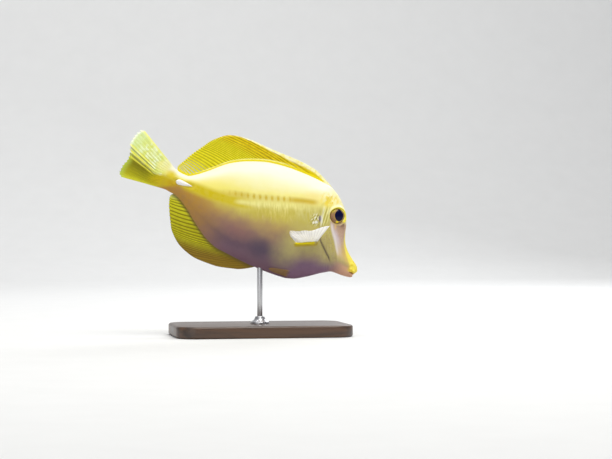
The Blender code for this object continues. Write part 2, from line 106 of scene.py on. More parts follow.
# Back and belly fins: where each ray leaves the body, and the place of its tip
DORSAL_RAYS = ((-4.2, -5.0, 9.4), (-1, -5.1, 10.6), (5, -4.6, 12.2), (10, -3.1, 15.5), (16, -0.7, 20.8),
               (24, 3.1, 27.4), (32, 5.9, 32.2), (40, 9.0, 35.7), (47, 11.6, 38.2), (54, 15.0, 40.4),
               (61, 22.5, 42.6), (66, 30.5, 43.4), (70, 40.0, 43.6), (74, 50.0, 44.3), (78, 60.0, 44.7),
               (81, 68.0, 44.4), (84, 80.2, 40.6))
ANAL_RAYS = ((-0.5, -1.3, -6.0), (2.5, -1.8, -7.4), (10, -0.6, -11.2), (17, 2.0, -16.2), (24, 5.0, -21.2),
             (31, 7.2, -24.6), (38, 9.9, -27.2), (45, 12.2, -29.0), (50, 15.6, -31.0), (54, 20.5, -32.7),
             (57, 28.0, -33.9), (59.5, 39.0, -33.1), (61.5, 55.0, -28.4))
# Tail fin: share of the way from its lower edge to its upper one, and the place of the margin there
TAIL_MARGIN = ((0, -31.8, -9.0), (0.1, -34.0, -7.4), (0.25, -34.3, -3.0), (0.4, -33.3, 1.6),
               (0.52, -34.0, 5.8), (0.66, -36.1, 11.0), (0.8, -35.6, 15.6), (0.9, -34.4, 18.8),
               (0.96, -33.0, 20.7), (1, -31.1, 21.0))
# The narrow folds across the half closed tail fin: how many there would be all over, and their middle
TAIL_FOLDS = 11
TAIL_FOLDS_MIDDLE = 0.53
# How many rays stand behind each place: soft rays close together, then the few spines in front
DORSAL_COUNT = ((-4.2, 0), (5, 4.5), (20, 13.5), (43, 26), (54, 28.3), (61, 29.9), (70, 31.4), (84, 32.6))
ANAL_COUNT = ((-0.5, 0), (10, 4.5), (45, 18), (54, 22), (61.5, 26))
# Height of the fold of skin along each fin's root
DORSAL_SHEATH = 1.6
ANAL_SHEATH = 0.9
TAIL_RAY_COUNT = 17
PECTORAL_RAY_COUNT = 15
PELVIC_RAY_COUNT = 6
# Side fins: the fore and the rear end of the root
PECTORAL_ROOT = ((87.4, 5.6), (79.4, 0.8))
# Share of the way along that root, and the place of the ray's tip: along, out and up
PECTORAL_TIPS = ((0, 86.4, 30.0, 14.9), (0.2, 80.6, 32.0, 10.6), (0.4, 75.9, 32.0, 6.8),
                 (0.6, 71.9, 30.5, 4.8), (0.8, 67.0, 26.5, 2.6), (0.9, 68.6, 22.5, 0.4),
                 (1, 74.8, 16.0, -1.2))
# Pelvic fins: upper and lower edge, each from the root to the tip
PELVIC_UPPER = ((81.2, -16.6), (68.4, -20.2))
PELVIC_LOWER = ((81.8, -20.8), (69.0, -22.3))

# Lines on the side of the fish
GILL_SLIT = ((81.8, 27.5), (82.6, 22.5), (83.8, 17.5), (86.0, 11.5), (89.6, 6.4), (94.6, 2.6),
             (98.6, -0.4), (101.2, -3.2))
CHEEK_EDGE = ((88.4, 29.0), (87.6, 23.0), (91.0, 16.6), (96.4, 10.2), (101.3, 3.8), (104.4, -1.0))
# The back's outline past the eyes, and from there down the front of the snout
BROW_LINE = tuple(knot for knot in BACK if 72 <= knot[0] <= 104.4)
FRONT_LINE = tuple(knot for knot in BACK if 98 <= knot[0] <= 117.2)
FRONT_STRIP = ((98, 0.5), (102, 1.1), (106, 2.0), (111, 3.4), (118, 4.6))
MID_LINE = ((-6, 2.6), (6.3, 3.2), (16, 5.2), (30.6, 9.4), (45.9, 14.2), (62.6, 20.6), (75.5, 25.0),
            (84, 27.0), (92, 27.0), (100, 16.0), (118.4, 1.0))
GOLD_BAND = ((4.0, 2.6), (16, 3.3), (27, 4.6), (38, 7.0), (48, 9.5))
# How wide the pale strip along the back fin's front margin is, a painted highlight on its leading spines
PALE_STRIP = ((14, 0.2), (30, 0.8), (41, 1.4), (48, 1.9), (56, 2.7), (68, 2.3), (76, 2.0), (80, 3.0),
              (84, 3.0))
# The fleshy pad below the side fin's root
PAD_LINE = ((86.8, 4.1), (82.0, 1.6), (76.8, -1.2))
SPINE_LINE = ((-2.6, 1.9), (7.4, 3.2))
MOUTH_LINE = ((113.8, -2.5), (116.0, -2.3), (118.6, -2.2))
# Low swellings of the lips: place, reach and height
LIP_SWELLS = ((113.4, 2.5, 1.6, 0.42), (116.5, -0.2, 1.5, 0.49), (113.9, -0.6, 1.3, 0.35),
              (115.3, -4.2, 1.7, 0.315), (110.6, 1.2, 2.2, 0.28), (116.9, 1.7, 1.1, 0.21))
# Place and radius of each
NOSTRILS = ((98.4, 20.6, 0.42), (99.6, 19.4, 0.3))

# The opening for the eyeball, and the raised rim round it, which stands a little further forward
SOCKET = (92.1, 24.1)
SOCKET_RADIUS = 4.4
SOCKET_DEPTH = 2.2
RIM_CENTRE = (92.75, 24.35)
# The rim's height at each distance from its centre
RIM_PROFILE = ((0, -0.9), (4.5, -0.8), (4.95, -0.15), (5.3, 0.0), (5.75, -0.35), (6.2, -1.5), (7.2, -4.4),
               (12, -31.0), (200, -31.0))
# How far from the brow line the rim begins to round off towards it
BROW_ROUNDING = 3.7

# The pupil's centre on the eyeball, from the ball's own centre, and half its width and height
PUPIL_PLACE = (1.15, 0.42)
PUPIL_HALF_WIDTH = 2.7
PUPIL_HALF_HEIGHT = 3.55
# How far the eyeball reaches under the rim of its socket
EYE_OVERLAP = 0.75

# How far apart the creases behind the eye and the dashes above the flank's strokes stand
CREASE_SPACING = 1.7
DASH_SPACING = 3.95

# The bony spine: half its height, half its thickness, and how far it stands out of the stalk
SPINE_HALF_HEIGHT = 1.75
SPINE_HALF_THICKNESS = 0.85
SPINE_RISE = 0.75

# The stand
BASE_CORNER_RADIUS = 12 * MM
ROD_ROUNDING = 0.2 * MM


class TangSizes(PropertyGroup):
    """Sizes of the fish's finer shapes, in metres."""

    fin_edge: FloatProperty(name="Fin edge", description="Half the thickness of a fin at its margin",
                            default=0.00011, unit="LENGTH")
    fin_root: FloatProperty(name="Fin root", description="Half the thickness of a fin at the body",
                            default=0.00045, unit="LENGTH")
    ray_height: FloatProperty(name="Ray height", description="How far a ray stands out of its membrane",
                              default=0.00017, unit="LENGTH")
    orbit_rise: FloatProperty(name="Eye rim", description="How far the rim of the eye stands out",
                              default=0.0009, unit="LENGTH")
    gill_step: FloatProperty(name="Gill cover edge", description="Height of the gill cover's free edge",
                             default=0.00055, unit="LENGTH")


class TangColours(PropertyGroup):
    """Paint of the fish."""

    lemon: FloatVectorProperty(name="Lemon", description="Rays and membrane of the back fin", subtype="COLOR",
                               size=3, min=0, max=1, default=(0.72, 0.65, 0.010))
    gold: FloatVectorProperty(name="Gold", description="Band from the tail spine forward", subtype="COLOR",
                              size=3, min=0, max=1, default=(0.64, 0.50, 0.012))
    tan: FloatVectorProperty(name="Tan", description="Lower flank behind", subtype="COLOR", size=3,
                             min=0, max=1, default=(0.47, 0.25, 0.035))
    olive: FloatVectorProperty(name="Olive", description="Cheek and gill cover", subtype="COLOR", size=3,
                               min=0, max=1, default=(0.51, 0.455, 0.14))
    lilac: FloatVectorProperty(name="Lilac", description="Side of the snout", subtype="COLOR", size=3,
                               min=0, max=1, default=(0.68, 0.57, 0.58))


class StandSizes(PropertyGroup):
    """Finer sizes of the stand, in metres; its main sizes come from the frame."""

    edge_rounding: FloatProperty(name="Edge rounding", description="Radius of the wooden base's edges",
                                 default=0.0014, unit="LENGTH")
    rod_sides: IntProperty(name="Rod sides", description="Facets round the rod", default=64, min=12)


class StageSettings(PropertyGroup):
    """Camera and studio."""

    turn: FloatProperty(name="Camera turn", description="How far the camera stands towards the tail",
                        default=radians(11), unit="ROTATION")
    focal_length: FloatProperty(name="Focal length", description="Lens, in millimetres", default=100)
    sensor: FloatProperty(name="Sensor width", description="Film width, in millimetres", default=36)


def sizes():
    return bpy.context.scene.tang_sizes


def colours():
    return bpy.context.scene.tang_colours


def stand_sizes():
    return bpy.context.scene.stand_sizes


# Curves and shares


def smooth(knots, at, column=1):
    """Values between knots, along a curve that never swings past them."""
    table = np.array(knots, float)
    xs = table[:, 0]
    ys = table[:, column]
    at = np.clip(np.asarray(at, float), xs[0], xs[-1])
    steps = np.diff(ys) / np.diff(xs)
    before, after = steps[:-1], steps[1:]
    same_way = before * after > 0
    inner = np.where(same_way, 2 * before * after / np.where(same_way, before + after, 1), 0)
    slopes = np.concatenate([steps[:1], inner, steps[-1:]])
    i = np.clip(np.searchsorted(xs, at, side="right") - 1, 0, len(xs) - 2)
    span = xs[i + 1] - xs[i]
    t = (at - xs[i]) / span
    rest = 1 - t
    return (ys[i] * (1 + 2 * t) * rest ** 2 + slopes[i] * span * t * rest ** 2
            + ys[i + 1] * t ** 2 * (3 - 2 * t) - slopes[i + 1] * span * t ** 2 * rest)


def bell(distance, reach):
    """1 at the centre, falling smoothly to 0 at the reach."""
    return (1 - np.clip(np.abs(distance) / reach, 0, 1) ** 2) ** 2


def ease(value, low, high):
    """0 below low, 1 above high, smooth between them."""
    t = np.clip((value - low) / (high - low), 0, 1)
    return t * t * (3 - 2 * t)


def rounded_line(corners):
    """The line through the corners with its bends rounded."""
    pieces = 10
    table = np.array(corners, float)
    if len(table) == 2:
        return table
    lengths = np.concatenate([[0], np.cumsum(np.hypot(*np.diff(table, axis=0).T))])
    at = np.linspace(0, lengths[-1], (len(table) - 1) * pieces + 1)
    knots = np.column_stack([lengths, table])
    return np.column_stack([smooth(knots, at, 1), smooth(knots, at, 2)])


def from_line(along, up, corners):
    """Distance from a line, the share of the way along it, and the side: 1 on its left, -1 on its right."""
    line = rounded_line(corners)
    starts, ends = line[:-1], line[1:]
    lengths = np.hypot(*(ends - starts).T)
    before = np.concatenate([[0], np.cumsum(lengths)])
    distance = np.full(np.shape(along), 1e9)
    share = np.zeros(np.shape(along))
    side = np.ones(np.shape(along))
    for start, end, length, done in zip(starts, ends, lengths, before):
        way = (end - start) / length
        ahead = np.clip((along - start[0]) * way[0] + (up - start[1]) * way[1], 0, length)
        off_x = along - start[0] - way[0] * ahead
        off_z = up - start[1] - way[1] * ahead
        here = np.hypot(off_x, off_z)
        nearer = here < distance
        distance = np.where(nearer, here, distance)
        share = np.where(nearer, (done + ahead) / before[-1], share)
        side = np.where(nearer, np.where(way[0] * off_z - way[1] * off_x > 0, 1, -1), side)
    return distance, share, side


def distance_from(along, up, corners):
    return from_line(along, up, corners)[0]


def oval_distance(along, up, centre, reach_along, reach_up):
    """Distance from a centre, as a share of the reach in each direction."""
    return np.hypot((along - centre[0]) / reach_along, (up - centre[1]) / reach_up)


# The body's form


def eye_distance(along, up):
    return np.hypot(along - EYE_PLACE[0], up - EYE_PLACE[1])


def plain_half_width(along, up):
    """Half the body's width at a place of the side view, before any relief."""
    level = smooth(WIDEST_LEVEL, along)
    height = np.where(up >= level, smooth(BACK, along) - level, level - smooth(BELLY, along))
    rise = np.clip(np.abs(up - level) / height, 0, 1)
    return smooth(HALF_WIDTH, along) * (1 - rise ** 2) ** (smooth(EDGE_POWER, along) / 2)


def socket_distance(along, up):
    return np.hypot(along - SOCKET[0], up - SOCKET[1])


def rim_side(along, up):
    """1 on the upper and front part of the eye's rim, 0 below and behind, where it lies flat."""
    off_x, off_z = along - RIM_CENTRE[0], up - RIM_CENTRE[1]
    r = np.maximum(np.hypot(off_x, off_z), 0.1)
    return ease((off_z * 0.996 - off_x * 0.09) / r, -0.65, -0.35)


def with_orbit(out, along, up):
    """The surface with the eye's tubular rim, and the socket sunk inside it."""
    level = float(plain_half_width(np.array(EYE_PLACE[0]), np.array(EYE_PLACE[1])))
    r = np.hypot(along - RIM_CENTRE[0], up - RIM_CENTRE[1])
    crest = sizes().orbit_rise / MM * (0.45 + 0.55 * rim_side(along, up))
    collar = level + crest + smooth(RIM_PROFILE, r)
    # The brow between the eyes rounds off towards the forehead's outline
    edge = np.minimum(distance_from(along, up, BROW_LINE) / BROW_ROUNDING, 1)
    collar = np.where(collar > 0, collar * np.sqrt(1 - (1 - edge) ** 2), collar)
    soft = 0.45
    blended = (out + collar + np.sqrt((out - collar) ** 2 + soft ** 2) - soft) / 2
    out = np.where(r < 12, blended + soft / 4 * bell(r, 8), out)
    floor = level - SOCKET_DEPTH
    return floor + (out - floor) * ease(socket_distance(along, up), 4.1, SOCKET_RADIUS + 0.12)


def snapped(along, up):
    """Draws the points nearest the socket's edge onto it, so that the edge runs true."""
    off_x, off_z = along - SOCKET[0], up - SOCKET[1]
    r = np.hypot(off_x, off_z)
    gap = r - SOCKET_RADIUS
    near = 0.42
    drawn = (SOCKET_RADIUS + gap * ease(np.abs(gap), 0.05, near)) / np.maximum(r, 1)
    factor = np.where(np.abs(gap) < near, drawn, 1)
    return SOCKET[0] + off_x * factor, SOCKET[1] + off_z * factor


def side_relief(along, up):
    """Everything that stands out of or sinks into the side of the body, in millimetres."""
    off_eye = ease(eye_distance(along, up), 5.2, 6.4)
    relief = gill_relief(along, up) * off_eye + cheek_relief(along, up) * off_eye
    for swell_along, swell_up, reach, rise in LIP_SWELLS:
        relief += rise * bell(np.hypot(along - swell_along, up - swell_up), reach)
    wrinkle = bell(oval_distance(along, up, (85.4, 21.5), 3.2, 7.0), 1.0)
    relief += 0.07 * wrinkle * np.sin(2 * pi * (along + 0.12 * up + 0.25 * np.sin(up * 0.9)) / 1.15)
    for nostril_along, nostril_up, radius in NOSTRILS:
        reach = np.hypot(along - nostril_along, up - nostril_up)
        relief += 0.22 * bell(reach - 1.5 * radius, radius) - 0.7 * bell(reach, 1.25 * radius)
    from_spine = distance_from(along, up, SPINE_LINE)
    relief += 0.1 * bell(from_spine - 2.2, 0.9) - 0.5 * bell(from_spine, 1.6)
    return relief + 1.2 * bell(distance_from(along, up, PAD_LINE), 1.4)


def gill_relief(along, up):
    """The gill cover's free edge, with the slit behind it."""
    distance, share, side = from_line(along, up, GILL_SLIT)
    ahead = distance * side
    held = ease(share, 0.0, 0.16) * (1 - ease(share, 0.86, 1.0))
    cover = ease(ahead, -0.1, 0.35) * (1 - ease(ahead, 0.3, 7.0))
    return held * (sizes().gill_step / MM * cover - 0.5 * bell(ahead + 0.35, 0.75))


def cheek_relief(along, up):
    """The step along the cheek's edge and the shallow hollow ahead of it."""
    distance, share, side = from_line(along, up, CHEEK_EDGE)
    held = ease(share, 0.0, 0.2) * (1 - ease(share, 0.8, 1.0))
    step = held * (0.16 * ease(-distance * side, -0.4, 0.4) * bell(distance, 4) - 0.2 * bell(distance, 0.8))
    return step - 0.4 * bell(distance * side - 4.2, 4.2) * ease(share, 0.25, 0.5)


def lips(along, up):
    """The mouth's cleft, which narrows the snout, and the swell of the lips beside it."""
    distance = distance_from(along, up, MOUTH_LINE)
    cleft = 0.8 * ease(along, 113.6, 115.8) * bell(distance, 0.55)
    return 1 - cleft + 0.14 * ease(along, 113, 115.5) * bell(distance - 1.4, 1.0)


def flesh_ripple(along, up):
    """Faint upright muscle bands along the middle of the flank."""
    band = bell(up - smooth(MID_LINE, along), 10) * ease(along, 26, 36) * (1 - ease(along, 72, 80))
    return 0.05 * band * np.sin(2 * pi * (along + 0.35 * up) / 3.1)


def spot(along, up, centre, half_wide, half_tall):
    """1 inside an oval that stands upright in the photograph, 0 outside it."""
    off_x, off_z = along - centre[0], up - centre[1]
    wide = (off_x * cos(NOSE_DOWN) + off_z * sin(NOSE_DOWN)) / half_wide
    tall = (off_z * cos(NOSE_DOWN) - off_x * sin(NOSE_DOWN)) / half_tall
    return 1 - ease(np.hypot(wide, tall), 0.5, 1.0)


def surface_out(along, up, plain):
    """The plain half width with its relief, which fades towards the edges of the body."""
    facing = ease(plain / np.maximum(smooth(HALF_WIDTH, along), 0.1), 0.12, 0.55)
    out = plain * lips(along, up) + facing * (side_relief(along, up) + flesh_ripple(along, up))
    return np.maximum(with_orbit(out, along, up), 0.04)


def jaw_place(along, up):
    """Moves the tip of the lower jaw forward under the upper lip, past the end of its sections."""
    reach = np.hypot((along - 115.9) / 1.6, (up + 4.1) / 1.3)
    return along + 0.75 * bell(reach, 1.0)


# Meshes


class Place:
    """Turns millimetres in the fish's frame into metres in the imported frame."""

    turn = np.array(Matrix.Rotation(NOSE_DOWN, 3, "Y"))
    offset = np.zeros(3)

    @classmethod
    def find(cls):
        low_left, high_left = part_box("eye_left")
        low_right, high_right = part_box("eye_right")
        middle = (low_left + high_left + low_right + high_right) / 4
        eye = np.array([EYE_PLACE[0], 0.0, EYE_PLACE[1]]) * MM
        cls.offset = np.array(middle) - cls.turn @ eye

    @classmethod
    def world(cls, places):
        return places * MM @ cls.turn.T + cls.offset


def deselect():
    for thing in bpy.context.view_layer.objects:
        thing.select_set(False)


def sheet_of(name, places, values):
    """A grid primitive shaped to the places, an array of rows by columns, with values kept as attributes."""
    rows, columns = places.shape[:2]
    deselect()
    bpy.ops.mesh.primitive_grid_add(x_subdivisions=columns - 1, y_subdivisions=rows - 1, size=1)
    patch = bpy.context.object
    patch.name = name
    mesh = patch.data
    mesh.vertices.foreach_set("co", Place.world(places.reshape(-1, 3)).ravel())
    kept = dict(values)
    kept["fish_place"] = places
    for key, value in kept.items():
        vector = np.ndim(value) == 3
        layer = mesh.attributes.new(key, "FLOAT_VECTOR" if vector else "FLOAT", "POINT")
        full = value if vector else np.broadcast_to(value, (rows, columns))
        layer.data.foreach_set("vector" if vector else "value", np.ascontiguousarray(full, float).ravel())
    while mesh.uv_layers:
        mesh.uv_layers.remove(mesh.uv_layers[0])
    return patch


def face_outward():
    """Turns every face of the active mesh outward."""
    bpy.ops.object.mode_set(mode="EDIT")
    bpy.ops.mesh.select_all(action="SELECT")
    bpy.ops.mesh.normals_make_consistent(inside=False)
    bpy.ops.object.mode_set(mode="OBJECT")


def join(patches, name):
    """One closed mesh from patches that share their borders, its faces outward."""
    deselect()
    for patch in patches:
        patch.select_set(True)
    bpy.context.view_layer.objects.active = patches[0]
    bpy.ops.object.join()
    whole = bpy.context.object
    whole.name = name
    whole.data.name = name
    bpy.ops.object.mode_set(mode="EDIT")
    bpy.ops.mesh.select_all(action="SELECT")
    bpy.ops.mesh.remove_doubles(threshold=2e-6)
    bpy.ops.mesh.dissolve_degenerate(threshold=1e-7)
    bpy.ops.mesh.normals_make_consistent(inside=False)
    bpy.ops.object.mode_set(mode="OBJECT")
    bpy.ops.object.shade_smooth()
    return whole


def drop_faces(patch, gone):
    """Deletes the faces of a grid patch whose place, row and column, is marked."""
    mesh = patch.data
    bpy.context.view_layer.objects.active = patch
    bpy.ops.object.mode_set(mode="EDIT")
    bpy.ops.mesh.select_mode(type="FACE")
    bpy.ops.object.mode_set(mode="OBJECT")
    for face, marked in zip(mesh.polygons, gone.ravel()):
        face.select = bool(marked)
    bpy.ops.object.mode_set(mode="EDIT")
    bpy.ops.mesh.delete(type="FACE")
    bpy.ops.object.mode_set(mode="OBJECT")


# The skin

SIDE_POINTS = 92
FIN_ROWS = 17
STATION_SPACING = ((-6, 0.5), (80, 0.5), (86, 0.3), (100, 0.27), (107, 0.32), (112, 0.25), (118.4, 0.15))


def stations():
    """Places of the body's sections along the axis, closer together on the head."""
    fine = np.linspace(BODY_START, BODY_END, 4000)
    passed = np.concatenate([[0], np.cumsum(np.diff(fine) / smooth(STATION_SPACING, fine[:-1]))])
    count = int(passed[-1])
    return np.interp(np.linspace(0, passed[-1], count), passed, fine)


def section(along):
    """Points of the right side of one section, from the belly's edge to the back's, evenly spread."""
    root = sizes().fin_root / MM
    level, width, power = (smooth(k, along) for k in (WIDEST_LEVEL, HALF_WIDTH, EDGE_POWER))
    end = np.arccos(min((root / width) ** (1 / power), 0.9))
    angle = np.linspace(-end, end, 500)
    height = np.where(angle >= 0, smooth(BACK, along) - level, level - smooth(BELLY, along))
    up = level + height * np.sin(angle)
    plain = width * np.cos(angle) ** power
    spread = np.hypot(np.diff(up), np.diff(plain))
    middle_up = (up[1:] + up[:-1]) / 2
    spread *= 1 + 2.0 * bell(socket_distance(along, middle_up) - 4.6, 2.4)
    spread *= 1 + 2.0 * bell(middle_up + 2.3, 1.6) * ease(along, 108, 111)
    passed = np.concatenate([[0], np.cumsum(spread)])
    angle = np.interp(np.linspace(0, passed[-1], SIDE_POINTS), passed, angle)
    height = np.where(angle >= 0, smooth(BACK, along) - level, level - smooth(BELLY, along))
    return level + height * np.sin(angle), width * np.cos(angle) ** power


def body_places(alongs):
    """Both sides of every section: right from belly to back, then left from back to belly."""
    rows = []
    for along in alongs:
        up, plain = section(along)
        rows.append(np.column_stack([np.full(SIDE_POINTS, along), plain, up]))
    right = np.array(rows)
    near_eye = socket_distance(right[..., 0], right[..., 2]) < SOCKET_RADIUS + 1
    along, up = snapped(right[..., 0], right[..., 2])
    right[..., 1] = np.where(near_eye, plain_half_width(along, up), right[..., 1])
    right[..., 0], right[..., 2] = along, up
    out = surface_out(right[..., 0], right[..., 2], right[..., 1])
    # The edges of the body stay plain, so that the fins meet them
    out[:, [0, -1]] = right[:, [0, -1], 1]
    forward = jaw_place(right[..., 0], right[..., 2])
    right = np.stack([forward, -out, right[..., 2]], axis=-1)
    left = right[:, ::-1] * (1, -1, 1)
    return right, left


def ridge(phase, sharpness=1.6):
    """1 on each ray, 0 midway between two."""
    return (0.5 + 0.5 * np.cos(2 * pi * phase)) ** sharpness


def halfway(points):
    """The points, with one more midway between each two."""
    finer = np.empty((2 * len(points) - 1,) + points.shape[1:])
    finer[::2] = points
    finer[1::2] = (points[1:] + points[:-1]) / 2
    return finer


def fin_thickness(gap, out, phase, sheath):
    """Half the thickness over a fin: its root, its rays, the scalloped fold of skin and a thin margin."""
    edge, base, height = (s / MM for s in (sizes().fin_edge, sizes().fin_root, sizes().ray_height))
    half = edge + (base - edge) * np.exp(-gap / 0.8)
    raised = ridge(phase)[:, None]
    half = half + height * raised * ease(gap, 0.3, 1.4) * (1 - 0.4 * out[None, :])
    scallop = sheath + 0.3 * (ridge(phase, 1.0)[:, None] - 0.5)
    half += 0.1 * (1 - ease(gap, scallop - 0.3, scallop + 0.3)) * ease(gap, 0.0, 0.5)
    return half * (1 - 0.55 * ease(out, 0.93, 1.0)[None, :])


def ray_fin(name, right_root, left_root, rays, counts, profile, sheath):
    """A fin on the middle plane, its right and left sheets grown from the body's own edge points.

    Its columns lie twice as close as the body's sections. profile is the body's edge under the fin, and
    sheath the height of the fold of skin along its root.
    """
    right_root, left_root = halfway(right_root), halfway(left_root)
    alongs = right_root[:, 0]
    phase = smooth(counts, alongs)
    tip = np.stack([smooth(rays, alongs, 1), np.zeros_like(alongs), smooth(rays, alongs, 2)], axis=-1)
    root = (right_root + left_root) / 2
    way = tip - root
    length = np.linalg.norm(way, axis=-1, keepdims=True)
    notch = (0.32 if rays is ANAL_RAYS else 0.75) * (1 - ridge(phase, 0.7)) * bell(alongs - 14, 46)
    notch = notch[:, None]
    tip = root + way * (1 - notch / np.maximum(length, 2))
    # A slight bow, towards the outside of the fin
    bow = np.stack([-way[:, 2], way[:, 1], way[:, 0]], axis=-1) * (0.03 if rays is ANAL_RAYS else -0.03)
    out = np.linspace(0, 1, FIN_ROWS + 1) ** 1.25
    t = out[None, :, None]
    middle = root[:, None] * (1 - t) + tip[:, None] * t + 4 * bow[:, None] * t * (1 - t)
    gap = np.abs(middle[..., 2] - smooth(profile, middle[..., 0]))
    gap = np.maximum(gap, out[None, :] * length * 0.12)
    half = fin_thickness(gap, out, phase, sheath)
    sway = 0.5 * np.sin(alongs / 9.0)[:, None] * out[None, :] ** 2
    sheets = []
    for side in (-1, 1):
        sheet = middle.copy()
        sheet[..., 1] += side * half + sway
        sheets.append(sheet)
    sheets[0][:, 0] = right_root
    sheets[1][:, 0] = left_root
    spread = np.broadcast_to(np.maximum(out, 1e-4), half.shape)
    gap[:, 0] = 0
    values = {"fin_out": np.concatenate([spread, spread[:, ::-1]], axis=1),
              "ray_phase": np.broadcast_to(phase[:, None], (len(alongs), 2 * FIN_ROWS + 2)),
              "root_distance": np.concatenate([gap, gap[:, ::-1]], axis=1),
              "anal": np.full((len(alongs), 2 * FIN_ROWS + 2), float(rays is ANAL_RAYS))}
    whole = np.concatenate([sheets[0], sheets[1][:, ::-1]], axis=1)
    patches = [sheet_of(name, whole, values)]
    for end in (0, -1):
        cap = np.stack([sheets[0][end], sheets[1][end]])
        kept = {"fin_out": spread[end], "ray_phase": phase[end], "root_distance": gap[end],
                "anal": float(rays is ANAL_RAYS)}
        patches.append(sheet_of(name + "_edge", cap, kept))
    return patches


TAIL_ROWS = 30


def tail_ring(t, rim, share_at_root):
    """One ring round the tail fin, at the share t of the way from its root to its margin, and its rays."""
    edge, height = sizes().fin_edge / MM, sizes().ray_height / MM
    low, high = rim[0, 2], rim[-1, 2]
    even = np.linspace(0, 1, len(rim))
    share = share_at_root + (even - share_at_root) * ease(t, 0.0, 0.35)
    phase = share * (TAIL_RAY_COUNT - 1)
    split = ease(t, 0.35, 0.6)
    rays = ridge(phase) * (1 - 0.5 * split) + ridge(2 * phase, 1.2) * 0.3 * split
    notch = (0.022 * (1 - ridge(phase, 0.5)) + 0.014 * (1 - ridge(2 * phase, 0.6))) * t ** 8
    # The rays of both lobes gather in the lower half of the stalk
    gathered = share + (share ** 2.1 - share) * ease(t, 0.0, 0.4)
    root_up = low + (high - low) * gathered
    along = rim[0, 0] + (smooth(TAIL_MARGIN, share, 1) - rim[0, 0]) * t * (1 - notch)
    up = root_up + (smooth(TAIL_MARGIN, share, 2) - root_up) * t * (1 - notch)
    # The upper and lower edges lie straight, and the lobes between them cup to the left
    lower = np.clip(0.5 - share, 0, 1) * 2
    upper = np.clip(share - 0.5, 0, 1) * 2
    middle = (8.5 * lower ** 1.5 + 3.0 * upper ** 1.5) * t ** 1.4 - 1.2 * bell(share - 0.5, 0.4) * t
    fold = np.sin(2 * pi * (share - TAIL_FOLDS_MIDDLE) * TAIL_FOLDS)
    fold = 0.45 * fold * bell(share - 0.52, 0.16) * ease(t, 0.25, 0.6)
    flat = edge + (1.5 - edge) * np.exp(-t * 6.5)
    start = np.interp(share, share_at_root, -rim[:, 1])
    blend = ease(t, 0.0, 0.22)
    half = start * (1 - blend) * (1 - 0.4 * ease(t, 0, 0.2)) + flat * blend
    half = half + height * 1.1 * rays * ease(t, 0.08, 0.25) * (1 - 0.4 * t)
    half = np.maximum(half * (1 - ease(np.abs(share - 0.5), 0.47, 0.5) * 0.35 * ease(t, 0.1, 0.3)), 0.06)
    if t == 0:
        half = -rim[:, 1]
    near = np.column_stack([along, middle + fold - half, up])
    far = np.column_stack([along, middle + fold + half, up])[::-1]
    return np.concatenate([near, far, near[:1]]), np.concatenate([phase, phase[::-1], phase[:1]])


def tail_fin(first_right):
    """The tail fin grown out of the body's last section, half closed along a low ridge."""
    rim = halfway(first_right)
    share_at_root = (rim[:, 2] - rim[0, 2]) / (rim[-1, 2] - rim[0, 2])
    rows, phases, outs = [], [], []
    for t in np.linspace(0, 1, TAIL_ROWS + 1) ** 0.95:
        row, phase = tail_ring(t, rim, share_at_root)
        rows.append(row)
        phases.append(phase)
        outs.append(np.full(len(row), max(t, 1e-4)))
    # A last ring draws the margin shut
    count = len(rim)
    last = rows[-1].copy()
    shut = (last[:count, 1] + last[count:2 * count][::-1, 1]) / 2
    last[:count, 1] = shut
    last[count:2 * count, 1] = shut[::-1]
    last[-1] = last[0]
    whole = np.array(rows + [last])
    phases, outs = np.array(phases + phases[-1:]), np.array(outs + outs[-1:])
    values = {"fin_out": outs, "ray_phase": phases, "root_distance": outs * 28, "tail": np.ones_like(outs)}
    return sheet_of("tail", whole, values)


def pillow(name, right_sheet, half, values):
    """A closed blade from its middle sheet and half thickness, its four borders drawn shut."""
    over = np.gradient(right_sheet, axis=0)
    across = np.gradient(right_sheet, axis=1)
    normal = np.cross(over, across)
    normal /= np.maximum(np.linalg.norm(normal, axis=-1, keepdims=True), 1e-9)
    shut = np.ones_like(half)
    shut[[0, -1]] = 0
    shut[:, [0, -1]] = 0
    patches = []
    for side in (1, -1):
        patches.append(sheet_of(name, right_sheet + side * normal * (half * shut)[..., None], values))
    return patches


def pelvic_fins():
    """The two pelvic fins, folded back along the belly and sunk into it at their roots."""
    patches = []
    share = np.linspace(0, 1, 31)[:, None]
    out = np.linspace(0, 1, 27)[None, :]
    upper, lower = np.array(PELVIC_UPPER), np.array(PELVIC_LOWER)
    for side in (1, -1):
        root = upper[0] + (lower[0] - upper[0]) * share[..., None]
        tip = upper[1] + (lower[1] - upper[1]) * (0.1 + 0.85 * share[..., None])
        rounding = 1 - 0.16 * (2 * share - 0.9) ** 2
        place = root + (tip - root) * (out * rounding)[..., None]
        phase = share * (PELVIC_RAY_COUNT - 1) + 0 * out
        lift = -0.45 + 0.95 * ease(out, 0.0, 0.28) + 0.3 * out * bell(share - 0.5, 0.6)
        width = plain_half_width(place[..., 0], place[..., 1]) + lift
        sheet = np.stack([place[..., 0], side * width, place[..., 1]], axis=-1)
        half = 0.16 + 0.35 * (1 - out) ** 2 * np.ones_like(share) + 0.14 * ridge(phase)
        values = {"fin_out": np.maximum(out, 1e-4) + 0 * share, "ray_phase": phase,
                  "root_distance": out * 14 + 0 * share, "pelvic": np.ones_like(half)}
        patches += pillow("pelvic", sheet, half, values)
    return patches


# Spots of colour, upright in the photograph: centre, then half the width and the height
SPOTS = {
    "tail_gold": ((-9.0, -0.6), 11.5, 4.8),
    "tail_pale": ((-12.5, 7.2), 5.5, 4.0),
    "drip": ((93.9, 18.3), 0.8, 2.6),
    # A dark gap at the gill opening, painted shade
    "gap": ((83.2, 18.2), 0.85, 2.5),
    # White glints behind the gill, painted reflections
    "gill_glint_tall": ((84.3, 18.0), 0.8, 3.2),
    "gill_glint_low": ((82.0, 15.2), 1.6, 0.9),
}
